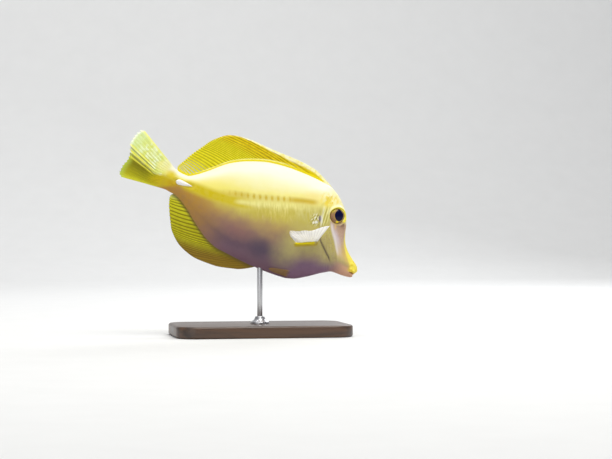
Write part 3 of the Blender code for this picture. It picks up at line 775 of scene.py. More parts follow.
# Soft patches of colour: centre, then how far they reach along and up
BLURS = {
    "tail_rust": ((-3.8, -0.2), 4.5, 2.8),
    "tail_ochre": ((-6.5, 4.6), 4.5, 3.4),
    # The rose patch is partly the belly's own pink and partly painted shade; the slate patch is painted shade
    "rose": ((41, -8), 15, 10),
    "belly_shade": ((59, -12), 10, 9),
    "moss": ((73, -8), 13, 14),
}
# Patches with a full middle: centre, reach along and up, and the share of the reach where they begin to fade
PATCHES = {
    "nape": ((85, 30.5), 8.5, 6.5, 0.3),
    "glint": ((81.0, 16.4), 4.2, 4.9, 0.35),
    "wrinkle": ((85.6, 20.5), 3.4, 8.0, 0.5),
}


def patch_tints(along, up):
    """Spots and patches of colour that lie about one place."""
    layers = {key: spot(along, up, *shape) for key, shape in SPOTS.items()}
    layers["tail_gold"] = layers["tail_gold"] * (along < 4)
    layers["tail_pale"] = layers["tail_pale"] * (along < 1)
    layers["gill_glint"] = np.maximum(layers.pop("gill_glint_tall"), layers.pop("gill_glint_low"))
    for key, shape in BLURS.items():
        layers[key] = bell(oval_distance(along, up, *shape), 1.0)
    for key, (centre, reach_along, reach_up, full) in PATCHES.items():
        layers[key] = 1 - ease(oval_distance(along, up, centre, reach_along, reach_up), full, 1.0)
    # Painted shade in the nostrils
    layers["nostril"] = np.zeros(np.shape(along))
    for nostril_along, nostril_up, radius in NOSTRILS:
        hole = bell(np.hypot(along - nostril_along, up - nostril_up), 1.1 * radius)
        layers["nostril"] = np.maximum(layers["nostril"], hole)
    return layers


def flank_tints(along, up, band, above):
    """Bands and stripes along the flank. band is 0 on the mid line, 1 on the back's edge, -1 on the belly."""
    gold_distance, gold_share, _ = from_line(along, up, GOLD_BAND)
    margin_distance = distance_from(along, up, [ray[1:] for ray in DORSAL_RAYS])
    pale = smooth(PALE_STRIP, along)
    # The pale strip is a painted highlight on the back fin's leading spines, and covers the fin's whole front
    # end
    strip = np.maximum(1 - ease(margin_distance, pale * 0.6, pale * 1.1), ease(along, 79.5, 82.5))
    gold = np.minimum(1.25 * bell(gold_distance, 4.8), 1)
    slope = band + 0.14 * ease(along, 64, 78) + 0.08 * ease(along, 88, 97)
    from_spine = distance_from(along, up, SPINE_LINE)
    return {
        "band": np.clip(band, -1.1, 1.1),
        "rear": (1 - ease(along, 8, 42)) * ease(-band, 0.05, 0.35),
        "gold": gold * (1 - ease(gold_share, 0.75, 1.0)) * ease(along, -2, 6),
        "strip": strip * (up > 20) * ease(along, 14, 26),
        "warm": bell(np.hypot((along - 75) / 10, (above - 3.5) / 6), 1.0),
        # Painted shade, mauve, on the throat
        "throat_shade": ease(along, 72, 84) * (1 - ease(band, -0.8, -0.5)) * (1 - ease(along, 98, 108)),
        "lemon": (1 - ease(along, 12, 48)) * ease(band, -0.1, 0.02) * (1 - ease(band, 0.25, 0.75)),
        "forehead": ease(along, 79, 88) * ease(above, 0.0, 6.0),
        "stripe": bell(above + 4.2, 2.7) * ease(along, 31, 37) * (1 - ease(along, 60, 84)),
        "dash": bell(above - 0.2, 2.6) * ease(along, 20, 34) * (1 - ease(along, 75, 80)),
        "dash_front": np.maximum(ease(along, 57, 66), 0.6 * (1 - ease(along, 36, 44))),
        "olive": ease(along, 62, 76) * ease(-above, 0.5, 5.0) * ease(slope, -0.68, -0.42),
        "groove": bell(from_spine - 1.5, 1.2),
    }


def gill_tints(along, up, above):
    """The gill slit, the cover's edge, and what lies behind and ahead of them."""
    distance, share, side = from_line(along, up, GILL_SLIT)
    ahead = distance * side
    face = ease(ahead, -0.5, 2.0)
    cheek_distance, _, cheek_side = from_line(along, up, CHEEK_EDGE)
    before_cheek = 1 - ease(cheek_distance * cheek_side, -0.8, 0.4)
    pad_distance, pad_share, pad_side = from_line(along, up, PAD_LINE)
    return {
        "head": ease(ahead, -8.0, 1.0),
        "streak": bell(above + 8.5, 8.5) * ease(along, 34, 50) * (1 - face),
        "dots": face * before_cheek * ease(up, -3.0, 1.0) * ease(-above, 1.0, 4.0),
        # Painted shade in the gill slit
        "slit": bell(ahead + 0.15, 0.6) * ease(share, 0.3, 0.5) * (1 - ease(share, 0.86, 1.0)),
        "cover_edge": bell(ahead - 0.7, 0.7) * ease(share, 0.0, 0.1) * (1 - ease(share, 0.35, 0.5)),
        "root": (1 - ease(pad_distance, 0.7, 1.35)) * ease(pad_share, 0.0, 0.1),
        "root_shade": bell(pad_distance * pad_side - 1.1, 1.0),
    }


def face_tints(along, up, above):
    """The side of the snout, its ridge, the lips and the eye's rim."""
    cheek_distance, _, cheek_side = from_line(along, up, CHEEK_EDGE)
    past_cheek = cheek_distance * cheek_side
    front_distance = distance_from(along, up, FRONT_LINE)
    mouth_distance = distance_from(along, up, MOUTH_LINE)
    strip = smooth(FRONT_STRIP, along)
    r = np.hypot(along - RIM_CENTRE[0], up - RIM_CENTRE[1])
    rim_up_left = (0.8 * (up - RIM_CENTRE[1]) - 0.6 * (along - RIM_CENTRE[0])) / np.maximum(r, 0.1)
    lit = rim_side(along, up)
    panel = ease(past_cheek, -0.2, 0.7) * ease(along, 88.5, 91) * ease(r, 5.0, 5.6) * ease(16.5 - above, 0, 3)
    # A painted highlight along the cheek's edge, on the side of the snout
    edge = bell(past_cheek - 1.0, 1.2) * ease(up, 2.5, 6.0) * ease(along, 90.0, 92.0) * ease(r, 5.4, 6.2)
    ridge_front = 1 - ease(front_distance, strip - 0.5, strip + 0.7)
    return {
        "ahead": np.clip(past_cheek / 10, -1, 1),
        "panel": panel * (1 - ease(up, 21.0, 24.0)) * ease(up, -0.5, 5.5),
        "panel_edge_highlight": edge,
        "snout": ease(along, 101, 106) * ease(up, -2.6, 1.0) * (1 - ease(front_distance, 3.0, 6.0)),
        "ridge": ridge_front * ease(along, 99.6, 103.0) * ease(up, -2.4, -1.2),
        "lip": ease(along, 111.0, 114.0) * ease(up, -2.7, -1.9),
        "jaw": ease(along, 99, 107) * (1 - ease(up, -1.6, 2.0)),
        # Painted shade along the mouth's cleft, brownish pink
        "mouth": bell(mouth_distance, 0.4) * ease(along, 112.6, 114.5),
        # A painted highlight on the upper rear of the eye's rim
        "rim_highlight": ease(r, 4.9, 5.5) * (1 - ease(r, 6.0, 7.2)) * ease(rim_up_left, -0.1, 0.7),
        "rim": ease(r, 3.8, 4.6) * (1 - ease(r - 0.55 * lit, 4.8, 5.45)),
        "rim_lit": lit,
        "orbit": (1 - ease(r, 5.8, 8.2)) * ease(above, -3.0, 2.0),
    }


def tint_layers(mesh):
    """Where each colour lies on the fish, worked out from the fish's own lines and kept as attributes."""
    count = len(mesh.vertices)
    place = np.empty(count * 3)
    mesh.attributes["fish_place"].data.foreach_get("vector", place)
    along, _, up = place.reshape(-1, 3).T
    held = {}
    for key in ("fin_out", "tail", "pelvic"):
        held[key] = np.zeros(count)
        mesh.attributes[key].data.foreach_get("value", held[key])
    back, belly, mid = smooth(BACK, along), smooth(BELLY, along), smooth(MID_LINE, along)
    above = up - mid
    band = np.where(above > 0, above / np.maximum(back - mid, 1), above / np.maximum(mid - belly, 1))
    layers = {**patch_tints(along, up), **flank_tints(along, up, band, above),
              **gill_tints(along, up, above), **face_tints(along, up, above)}
    out = held["fin_out"]
    plain_fin = np.where(held["pelvic"] > 0.5, ease(out, 0.0, 0.22), ease(out, 1e-4, 0.012))
    layers["fin"] = np.where(held["tail"] > 0.5, ease(out, 0.03, 0.3), plain_fin)
    for key, value in layers.items():
        layer = mesh.attributes.new("tint_" + key, "FLOAT", "POINT")
        layer.data.foreach_set("value", np.ascontiguousarray(value, float))


def split_rims(body):
    """Halves the open edges along each side of the body, to meet the closer columns of the fins."""
    deselect()
    body.select_set(True)
    bpy.context.view_layer.objects.active = body
    bpy.ops.object.mode_set(mode="EDIT")
    bpy.ops.mesh.select_mode(type="EDGE")
    bpy.ops.mesh.select_all(action="SELECT")
    bpy.ops.mesh.remove_doubles(threshold=2e-6)
    bpy.ops.mesh.select_all(action="DESELECT")
    shape = bmesh.from_edit_mesh(body.data)
    for edge in shape.edges:
        start, end = (vertex.co.y for vertex in edge.verts)
        edge.select = edge.is_boundary and start * end > 0
    bmesh.update_edit_mesh(body.data)
    bpy.ops.mesh.subdivide(number_cuts=1, ngon=True)
    bpy.ops.object.mode_set(mode="OBJECT")


def build_skin():
    """The fish's one skin: body, back, belly, tail and pelvic fins."""
    alongs = stations()
    right, left = body_places(alongs)
    whole = np.concatenate([right, left, right[:, :1]], axis=1)
    tip = whole[-1:].mean(axis=1, keepdims=True) * (1, 0, 1)
    whole = np.concatenate([whole, np.broadcast_to(tip, (1,) + whole.shape[1:])])
    none = np.zeros(whole.shape[:2])
    lower = whole[..., 2] < smooth(WIDEST_LEVEL, whole[..., 0])
    # The rims of the body carry the fins' own ray numbers, so that the rays run on across the root
    phase = np.where(lower, smooth(ANAL_COUNT, whole[..., 0]), smooth(DORSAL_COUNT, whole[..., 0]))
    body = sheet_of("body", whole, {"fin_out": none, "ray_phase": phase, "root_distance": none,
                                    "anal": lower.astype(float)})
    in_dorsal = (alongs >= DORSAL_RAYS[0][0]) & (alongs <= DORSAL_RAYS[-1][0])
    in_anal = (alongs >= ANAL_RAYS[0][0]) & (alongs <= ANAL_RAYS[-1][0])
    gone = np.zeros((whole.shape[0] - 1, whole.shape[1] - 1), bool)
    pairs = len(alongs) - 1
    gone[:pairs, SIDE_POINTS - 1] = in_dorsal[:-1] & in_dorsal[1:]
    gone[:pairs, 2 * SIDE_POINTS - 1] = in_anal[:-1] & in_anal[1:]
    drop_faces(body, gone)
    split_rims(body)
    patches = [body]
    patches += ray_fin("dorsal", right[in_dorsal, -1], left[in_dorsal, 0], DORSAL_RAYS, DORSAL_COUNT,
                       BACK, DORSAL_SHEATH)
    patches += ray_fin("anal", right[in_anal, 0], left[in_anal, -1], ANAL_RAYS, ANAL_COUNT,
                       BELLY, ANAL_SHEATH)
    patches.append(tail_fin(right[0]))
    patches += pelvic_fins()
    skin = join(patches, "skin")
    tint_layers(skin.data)
    skin.data.materials.clear()
    skin.data.materials.append(skin_material())
    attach(skin, BODY)
    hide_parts(*FLESH_NODES)
    return skin


# Materials


class Nodes:
    """A material's node tree, with short calls for the nodes that paint and shape a surface."""

    def __init__(self, name):
        self.material = bpy.data.materials.new(name)
        self.material.use_nodes = True
        self.tree = self.material.node_tree
        self.surface = self.tree.nodes["Principled BSDF"]

    def add(self, kind, **settings):
        node = self.tree.nodes.new(kind)
        for key, value in settings.items():
            setattr(node, key, value)
        return node

    def plug(self, socket, value):
        if isinstance(value, bpy.types.NodeSocket):
            self.tree.links.new(value, socket)
        elif hasattr(value, "__len__") and len(value) == 3 and socket.type == "RGBA":
            socket.default_value = (*value, 1.0)
        else:
            socket.default_value = value

    def attribute(self, name, output="Fac"):
        return self.add("ShaderNodeAttribute", attribute_name=name).outputs[output]

    def math(self, operation, a, b=0.0, c=0.0, clamp=False):
        node = self.add("ShaderNodeMath", operation=operation, use_clamp=clamp)
        for socket, value in zip(node.inputs, (a, b, c)):
            self.plug(socket, value)
        return node.outputs[0]

    def times(self, a, b):
        return self.math("MULTIPLY", a, b)

    def plus(self, a, b):
        return self.math("ADD", a, b)

    def rest(self, value):
        """What is left of 1."""
        return self.math("SUBTRACT", 1.0, value)

    def mix(self, share, a, b):
        node = self.add("ShaderNodeMix", data_type="RGBA")
        self.plug(node.inputs[0], share)
        self.plug(node.inputs[6], a)
        self.plug(node.inputs[7], b)
        return node.outputs[2]

    def span(self, value, low, high, to_low=0.0, to_high=1.0):
        node = self.add("ShaderNodeMapRange", interpolation_type="SMOOTHSTEP")
        for socket, number in zip(node.inputs, (value, low, high, to_low, to_high)):
            self.plug(socket, number)
        return node.outputs[0]

    def cells(self, place, scale):
        node = self.add("ShaderNodeTexVoronoi", feature="F1")
        self.plug(node.inputs["Vector"], place)
        node.inputs["Scale"].default_value = scale
        return node.outputs["Distance"]

    def ramp(self, value, stops):
        node = self.add("ShaderNodeValToRGB")
        self.plug(node.inputs[0], value)
        band = node.color_ramp
        band.elements[0].position, band.elements[1].position = stops[0][0], stops[-1][0]
        for position, colour in stops[1:-1]:
            band.elements.new(position)
        for element, (position, colour) in zip(band.elements, stops):
            element.position = position
            element.color = (*colour, 1.0)
        return node.outputs[0]

    def noise(self, place, scale, detail=3.0, rough=0.55):
        node = self.add("ShaderNodeTexNoise")
        self.plug(node.inputs["Vector"], place)
        for key, value in (("Scale", scale), ("Detail", detail), ("Roughness", rough)):
            node.inputs[key].default_value = value
        return node.outputs["Fac"]

    def stretched(self, place, scale):
        node = self.add("ShaderNodeMapping")
        self.plug(node.inputs["Vector"], place)
        node.inputs["Scale"].default_value = scale
        return node.outputs[0]

    def part(self, place, axis):
        node = self.add("ShaderNodeSeparateXYZ")
        self.plug(node.inputs[0], place)
        return node.outputs[axis]

    def bump(self, height, distance, strength, after=None):
        node = self.add("ShaderNodeBump")
        self.plug(node.inputs["Height"], height)
        node.inputs["Distance"].default_value = distance
        node.inputs["Strength"].default_value = strength
        if after is not None:
            self.plug(node.inputs["Normal"], after)
        return node.outputs[0]

    def set_constants(self, constants):
        """Numbers that are the same all over the surface, set on the shader's own sockets."""
        for key, value in constants.items():
            self.surface.inputs[key].default_value = value

    def finish(self, **inputs):
        for key, value in inputs.items():
            self.plug(self.surface.inputs[key.replace("_", " ")], value)
        return self.material


def ray_lines(n, phase, start=0.2, end=0.42):
    """1 on the dark membrane between two rays, 0 on the rays."""
    return n.span(n.math("PINGPONG", phase, 0.5), start, end)


# The flank's colours from the belly's edge, at 0, over the mid line, at 0.5, to the back, at 1. The dark
# mauve low down is partly painted shade, and the pale cream towards the back partly a painted highlight
FLANK_WITH_PAINTED_LIGHT = ((0.0, (0.21, 0.12, 0.16)), (0.11, (0.145, 0.09, 0.12)), (0.21, (0.28, 0.17, 0.13)),
         (0.30, (0.46, 0.32, 0.12)), (0.37, (0.62, 0.52, 0.11)), (0.44, (0.80, 0.72, 0.24)),
         (0.50, (0.80, 0.72, 0.22)), (0.56, (0.88, 0.80, 0.26)), (0.66, (0.91, 0.86, 0.44)),
         (0.85, (0.92, 0.90, 0.70)))
# Layers of paint, each table in the order it is laid: where, colour, strength, and how broken up
# The rose layer is partly the belly's own pink and partly painted shade; the dark slate and mauve throat
# layers are painted shade on the belly and the throat
BELLY_LAYERS = (
    ("rose", (0.28, 0.13, 0.13), 0.6, 0.25),
    ("belly_shade", (0.090, 0.068, 0.108), 0.88, 0.2),
    ("throat_shade", (0.26, 0.15, 0.24), 0.65, 0.2),
    ("moss", (0.39, 0.33, 0.15), 0.8, 0.3),
)
CROWN_LAYERS = (
    ("lemon", (0.90, 0.78, 0.10), 0.6, 0.0),
    ("forehead", (0.93, 0.84, 0.34), 0.75, 0.15),
    ("warm", (0.86, 0.72, 0.24), 0.75, 0.0),
)
SNOUT_LAYERS = (
    # A painted highlight along the cheek's edge
    ("panel_edge_highlight", (0.80, 0.74, 0.68), 0.75, 0.0),
    ("drip", (0.84, 0.56, 0.16), 0.7, 0.3),
    ("snout", (0.74, 0.53, 0.12), 0.75, 0.2),
)
TRIM_LAYERS = (
    # A painted highlight on the upper rear of the eye's rim
    ("rim_highlight", (0.93, 0.89, 0.50), 0.7, 0.0),
    ("root", (0.76, 0.64, 0.008), 1.0, 0.0),
    ("root_shade", (0.46, 0.32, 0.01), 0.85, 0.0),
    # White glints behind the gill, painted reflections
    ("gill_glint", (0.84, 0.84, 0.80), 0.9, 0.2),
)
# The dark gap, gill slit, nostril and mouth layers are painted shade in the gill opening, the slit, the
# nostrils and the mouth's cleft
MARK_AND_SHADE_LAYERS = (
    ("cover_edge", (0.86, 0.84, 0.62), 0.7, 0.3),
    ("gap", (0.16, 0.11, 0.24), 0.9, 0.25),
    ("slit", (0.13, 0.09, 0.10), 0.9, 0.0),
    ("groove", (0.74, 0.58, 0.06), 0.3, 0.0),
    ("nostril", (0.10, 0.06, 0.03), 0.8, 0.0),
    ("mouth", (0.30, 0.10, 0.07), 0.8, 0.0),
)
STALK_LAYERS = (
    ("tail_gold", (0.58, 0.45, 0.004)),
    ("tail_pale", (0.84, 0.80, 0.30)),
    ("tail_ochre", (0.76, 0.60, 0.03)),
    ("tail_rust", (0.52, 0.32, 0.005)),
)


def laid(n, base, mottle, key, tint, strength, broken=0.0):
    """The base with a layer of paint over it. A broken layer thins out where the mottle is dark."""
    share = n.times(n.attribute("tint_" + key), strength)
    if broken:
        share = n.times(share, n.span(mottle, 0.5 - broken, 0.5 + broken, 1 - broken, 1.0))
    return n.mix(share, base, tint)


def laid_in_turn(n, base, mottle, layers):
    for layer in layers:
        base = laid(n, base, mottle, *layer)
    return base


def flank_paint(n, place, mottle):
    """From the mauve belly, partly painted shade, over the gold band to the pale back, partly a painted
    highlight.
    """
    paint = colours()
    blotch = n.noise(place, 0.11, 2.0)
    uneven = n.plus(n.times(n.plus(blotch, -0.5), 0.22), n.times(n.plus(mottle, -0.5), 0.06))
    band = n.plus(n.attribute("tint_band"), uneven)
    colour = n.ramp(n.math("MULTIPLY_ADD", band, 0.5, 0.5, clamp=True), FLANK_WITH_PAINTED_LIGHT)
    colour = laid(n, colour, mottle, "rear", tuple(paint.tan), 0.9, 0.15)
    colour = laid_in_turn(n, colour, mottle, BELLY_LAYERS)
    colour = laid(n, colour, mottle, "olive", tuple(paint.olive), 0.75, 0.2)
    colour = laid_in_turn(n, colour, mottle, CROWN_LAYERS)
    patches = n.noise(n.stretched(place, (0.55, 0.5, 0.28)), 1.0, 3.0)
    nape = n.times(n.attribute("tint_nape"), n.span(patches, 0.40, 0.60, 0.0, 0.9))
    colour = n.mix(nape, colour, (0.84, 0.64, 0.05))
    colour = laid(n, colour, mottle, "gold", tuple(paint.gold), 1.0, 0.1)
    return laid(n, colour, mottle, "stripe", (0.86, 0.80, 0.30), 0.85)


def flank_marks(n, colour, place, fine):
    """Strokes down the flank, upright in the photograph, the dashes above them and the cheek's dots."""
    along, up = n.part(place, 0), n.part(place, 2)
    upright = n.plus(along, n.times(up, tan(NOSE_DOWN)))
    drawn = n.add("ShaderNodeCombineXYZ")
    n.plug(drawn.inputs[0], n.times(upright, 0.75))
    n.plug(drawn.inputs[2], n.times(up, 0.16))
    strokes = n.noise(drawn.outputs[0], 1.0, 3.0)
    flank = n.attribute("tint_streak")
    colour = n.mix(n.times(n.times(flank, n.span(strokes, 0.42, 0.60)), 0.55), colour, (0.52, 0.43, 0.05))
    colour = n.mix(n.times(n.times(flank, n.span(strokes, 0.42, 0.28)), 0.45), colour, (0.84, 0.80, 0.42))
    pale = n.times(n.attribute("tint_head"), n.span(strokes, 0.48, 0.66))
    colour = n.mix(n.times(pale, 0.12), colour, (0.80, 0.76, 0.48))
    wave = n.math("SINE", n.times(upright, 2 * pi / DASH_SPACING))
    wave = n.plus(wave, n.times(n.plus(fine, -0.5), 2.2))
    dashes = n.math("MAXIMUM", n.span(wave, -0.3, 0.9, 0.22, 1.0), n.attribute("tint_dash_front"))
    dashes = n.times(n.times(n.attribute("tint_dash"), dashes), 0.95)
    colour = n.mix(dashes, colour, (0.62, 0.44, 0.04))
    dots = n.times(n.attribute("tint_dots"), n.span(n.cells(place, 1.25), 0.42, 0.28))
    return n.mix(n.times(dots, 0.6), colour, (0.37, 0.27, 0.15))


def eye_surround_paint(n, colour, place, mottle):
    """The pale skin round the eye, partly a painted highlight, and the olive creases behind it."""
    along, up = n.part(place, 0), n.part(place, 2)
    creases = n.plus(along, n.plus(n.times(up, 0.12), n.times(mottle, 0.6)))
    creases = n.span(n.math("SINE", n.times(creases, 2 * pi / CREASE_SPACING)), -0.4, 0.9)
    creased = n.mix(creases, (0.47, 0.41, 0.07), (0.84, 0.80, 0.34))
    # The pale skin round the eye is partly a painted highlight
    colour = laid(n, colour, mottle, "orbit", (0.90, 0.84, 0.42), 0.7)
    return laid(n, colour, mottle, "wrinkle", creased, 0.75)


def snout_paint(n, colour, place, mottle, fine):
    """The lilac and brown side of the snout, darker under the eye as painted shade, its yellow ridge, the jaw
    and the lips.
    """
    along, up = n.part(place, 0), n.part(place, 2)
    brown = n.mix(n.span(fine, 0.35, 0.65), (0.52, 0.36, 0.25), (0.60, 0.42, 0.33))
    side = n.mix(n.span(n.attribute("tint_ahead"), 0.2, 0.5), tuple(colours().lilac), brown)
    side = n.mix(n.span(up, 13.0, 1.0), side, (0.72, 0.53, 0.24))
    # Painted shade on the upper side of the snout, under the eye
    side = n.mix(n.span(up, 12.0, 19.0, 0.0, 0.6), side, (0.50, 0.31, 0.20))
    colour = n.mix(n.attribute("tint_panel"), colour, side)
    colour = laid_in_turn(n, colour, mottle, SNOUT_LAYERS)
    jaw = n.mix(n.span(along, 102, 112), (0.42, 0.25, 0.22), (0.68, 0.38, 0.24))
    colour = laid(n, colour, mottle, "jaw", jaw, 0.85)
    colour = laid(n, colour, mottle, "ridge", (0.93, 0.79, 0.12), 0.95)
    lip = n.mix(n.span(n.noise(place, 0.55, 1.0), 0.42, 0.60), (0.93, 0.78, 0.10), (0.82, 0.62, 0.03))
    return laid(n, colour, mottle, "lip", lip, 0.9)


def body_paint(n, place, mottle, fine):
    """The body's colours, laid one over the other."""
    colour = flank_marks(n, flank_paint(n, place, mottle), place, fine)
    colour = eye_surround_paint(n, colour, place, mottle)
    flecks = n.noise(n.stretched(place, (1.3, 1.3, 0.6)), 1.0, 2.0)
    colour = n.mix(n.times(n.attribute("tint_glint"), n.span(flecks, 0.49, 0.40)), colour, (0.24, 0.21, 0.04))
    colour = snout_paint(n, colour, place, mottle, fine)
    # The rim is yellow on its lit upper front and brown below and behind: painted light and shade
    rim_light_and_shade = n.mix(n.attribute("tint_rim_lit"), (0.42, 0.26, 0.14), (0.86, 0.73, 0.02))
    colour = laid(n, colour, mottle, "rim", rim_light_and_shade, 0.95)
    colour = laid_in_turn(n, colour, mottle, TRIM_LAYERS)
    glints = n.times(n.attribute("tint_glint"), n.span(flecks, 0.53, 0.60, 0.0, 0.85))
    colour = n.mix(glints, colour, (0.88, 0.89, 0.80))
    return laid_in_turn(n, colour, mottle, MARK_AND_SHADE_LAYERS)


def back_fin_paint(n, place, mottle, lines):
    """Lemon rays, ochre and creased in front, with a painted highlight along the leading edge, and thin and
    greyish behind.
    """
    out, phase, near = (n.attribute(name) for name in ("fin_out", "ray_phase", "root_distance"))
    along, anal, tail = n.part(place, 0), n.attribute("anal"), n.attribute("tail")
    not_anal = n.rest(anal)
    front = n.times(n.span(phase, 22.0, 28.0), not_anal)
    ochre = n.mix(n.span(mottle, 0.35, 0.65), (0.76, 0.60, 0.004), (0.64, 0.48, 0.003))
    bright = n.mix(n.span(mottle, 0.3, 0.7), tuple(colours().lemon), (0.80, 0.72, 0.02))
    bright = n.mix(front, bright, ochre)
    drawn = n.times(lines, n.span(along, 70.0, 50.0, 0.35, 0.85))
    fin = n.mix(drawn, bright, n.mix(front, (0.42, 0.36, 0.004), (0.32, 0.21, 0.002)))
    creases = n.noise(n.stretched(place, (0.10, 1.0, 0.9)), 1.0, 2.0)
    fin = n.mix(n.times(front, n.span(creases, 0.5, 0.68, 0.0, 0.35)), fin, (0.84, 0.70, 0.02))
    # Painted highlight along the leading spines
    pale = n.mix(n.span(n.noise(place, 0.3, 2.0), 0.42, 0.62), (0.98, 0.94, 0.56), (0.92, 0.82, 0.28))
    fin = n.mix(n.times(n.attribute("tint_strip"), 0.95), fin, pale)
    thin = n.times(lines, n.span(n.math("ABSOLUTE", n.plus(out, -0.5)), 0.5, 0.3))
    thin = n.times(n.times(n.span(phase, 11.0, 4.0), thin), 0.75)
    fin = n.mix(n.times(thin, n.rest(tail)), fin, (0.60, 0.62, 0.58))
    # The skin's golden sheath along the root, with a bright line along its edge
    sheath = n.times(n.span(near, 1.5, 1.2), n.times(not_anal, n.span(along, 80, 75, 0.0, 0.85)))
    fin = n.mix(sheath, fin, (0.88, 0.74, 0.008))
    bright_edge = n.times(n.span(near, 2.2, 1.7), n.span(near, 0.9, 1.4))
    bright_edge = n.times(bright_edge, n.times(n.span(along, 3.0, 12.0), n.span(along, 66.0, 44.0)))
    bright_edge = n.times(bright_edge, n.span(mottle, 0.35, 0.6, 0.6, 1.0))
    other_fins = n.plus(anal, n.plus(tail, n.attribute("pelvic")))
    bright_edge = n.times(bright_edge, n.math("SUBTRACT", 1.0, other_fins, clamp=True))
    return n.mix(n.times(bright_edge, 0.9), fin, (1.0, 0.94, 0.28))


def anal_fin_paint(n, mottle, lines):
    """Olive rays, paler at the rear, brown in front, all partly painted shade, with painted shade in the
    groove along the root.
    """
    phase, near = n.attribute("ray_phase"), n.attribute("root_distance")
    drawn = n.times(lines, n.span(phase, 25.0, 19.0, 0.3, 0.85))
    # The fin's olive and brown are partly painted shade, darker than the back fin's lemon
    bright = n.mix(n.span(mottle, 0.3, 0.7), (0.41, 0.38, 0.007), (0.48, 0.45, 0.012))
    fin = n.mix(drawn, bright, (0.17, 0.14, 0.004))
    fin = n.mix(n.times(n.span(phase, 11.0, 3.0, 0.0, 0.7), n.rest(drawn)), fin, (0.66, 0.64, 0.02))
    fin = n.mix(n.span(phase, 3.0, 0.5), fin, (0.66, 0.70, 0.16))
    brown = n.mix(drawn, (0.25, 0.15, 0.015), (0.12, 0.07, 0.010))
    fin = n.mix(n.times(n.span(phase, 14.0, 22.0), 0.95), fin, brown)
    # Painted shade in the groove along the fin's root
    return n.mix(n.times(n.span(near, 2.3, 0.3), 0.8), fin, (0.15, 0.10, 0.025))


def tail_fin_paint(n, place, lines):
    """Pale green above the folds, olive below, partly painted light and shade, and yellow along the outer
    edges.
    """
    out, phase = n.attribute("fin_out"), n.attribute("ray_phase")
    across = n.math("DIVIDE", phase, TAIL_RAY_COUNT - 1)
    drawn = n.times(n.span(out, 0.22, 0.36), n.span(out, 0.9, 0.45, 0.4, 1.0))
    drawn = n.times(lines, n.times(drawn, n.span(across, 0.95, 0.6, 0.3, 0.9)))
    cloud = n.noise(place, 0.3, 3.0)
    upper = n.mix(n.span(cloud, 0.4, 0.62), (0.72, 0.78, 0.22), (0.84, 0.92, 0.58))
    upper = n.mix(n.span(out, 0.6, 0.95, 0.0, 0.8), upper, (0.62, 0.76, 0.32))
    fin = n.mix(drawn, upper, (0.48, 0.49, 0.05))
    fin = n.mix(n.times(n.span(out, 0.93, 0.99), 0.8), fin, (0.90, 0.95, 0.80))
    fin = n.mix(n.span(across, 0.93, 1.0), fin, (0.84, 0.83, 0.24))
    # Painted shadow of the folds on the lower lobe, darkest just under them
    shaded = n.times(n.span(across, 0.22, 0.42), n.span(out, 0.35, 0.6))
    lower = n.mix(shaded, (0.42, 0.39, 0.005), (0.24, 0.22, 0.003))
    lower = n.mix(n.times(drawn, 0.35), lower, (0.17, 0.15, 0.004))
    lower = n.mix(n.span(across, 0.24, 0.05), lower, (0.62, 0.60, 0.015))
    lower = n.mix(n.times(n.span(out, 0.84, 1.0), 0.8), lower, (0.56, 0.70, 0.08))
    fin = n.mix(n.span(across, 0.56, 0.46), fin, lower)
    # Painted light on one face of each fold and painted shade on the other
    folds = n.math("SINE", n.times(n.plus(across, -TAIL_FOLDS_MIDDLE), 2 * pi * TAIL_FOLDS))
    folded = n.times(n.span(n.math("ABSOLUTE", n.plus(across, -0.54)), 0.15, 0.07), n.span(out, 0.3, 0.5))
    fin = n.mix(n.times(folded, n.span(folds, 0.0, 0.8, 0.0, 0.9)), fin, (0.92, 0.86, 0.10))
    return n.mix(n.times(folded, n.span(folds, -0.2, -0.9, 0.0, 0.65)), fin, (0.26, 0.23, 0.005))


def fin_paint(n, place, mottle):
    """The colours of the fins' rays and of the membrane between them."""
    lines = ray_lines(n, n.attribute("ray_phase"))
    fin = back_fin_paint(n, place, mottle, lines)
    fin = n.mix(n.attribute("anal"), fin, anal_fin_paint(n, mottle, lines))
    fin = n.mix(n.attribute("tail"), fin, tail_fin_paint(n, place, lines))
    pelvic = n.mix(n.times(lines, 0.5), (0.28, 0.165, 0.07), (0.15, 0.085, 0.05))
    return n.mix(n.attribute("pelvic"), fin, pelvic)


def skin_material():
    """Wet, finely scaled skin: painted in layers, with rays on the fins."""
    n = Nodes("tang_skin")
    place = n.attribute("fish_place", "Vector")
    mottle = n.noise(place, 0.35, 4.0)
    fine = n.noise(place, 2.2, 3.0)
    colour = n.mix(n.attribute("tint_fin"), body_paint(n, place, mottle, fine), fin_paint(n, place, mottle))
    for key, tint in STALK_LAYERS:
        colour = n.mix(n.times(n.attribute("tint_" + key), n.span(mottle, 0.3, 0.6, 0.6, 0.9)), colour, tint)
    scales = n.cells(n.stretched(place, (2.3, 2.3, 1.7)), 1.0)
    normal = n.bump(n.rest(scales), 0.00006, 0.4)
    normal = n.bump(fine, 0.0001, 0.3, normal)
    n.set_constants({"Subsurface Weight": 0.1, "Subsurface Radius": (0.9, 0.7, 0.35),
                     "Subsurface Scale": 0.001, "IOR": 1.38, "Specular IOR Level": 0.18,
                     "Coat Weight": 0.06, "Coat Roughness": 0.25})
    return n.finish(Base_Color=colour, Roughness=n.span(mottle, 0.3, 0.7, 0.36, 0.5), Normal=normal)


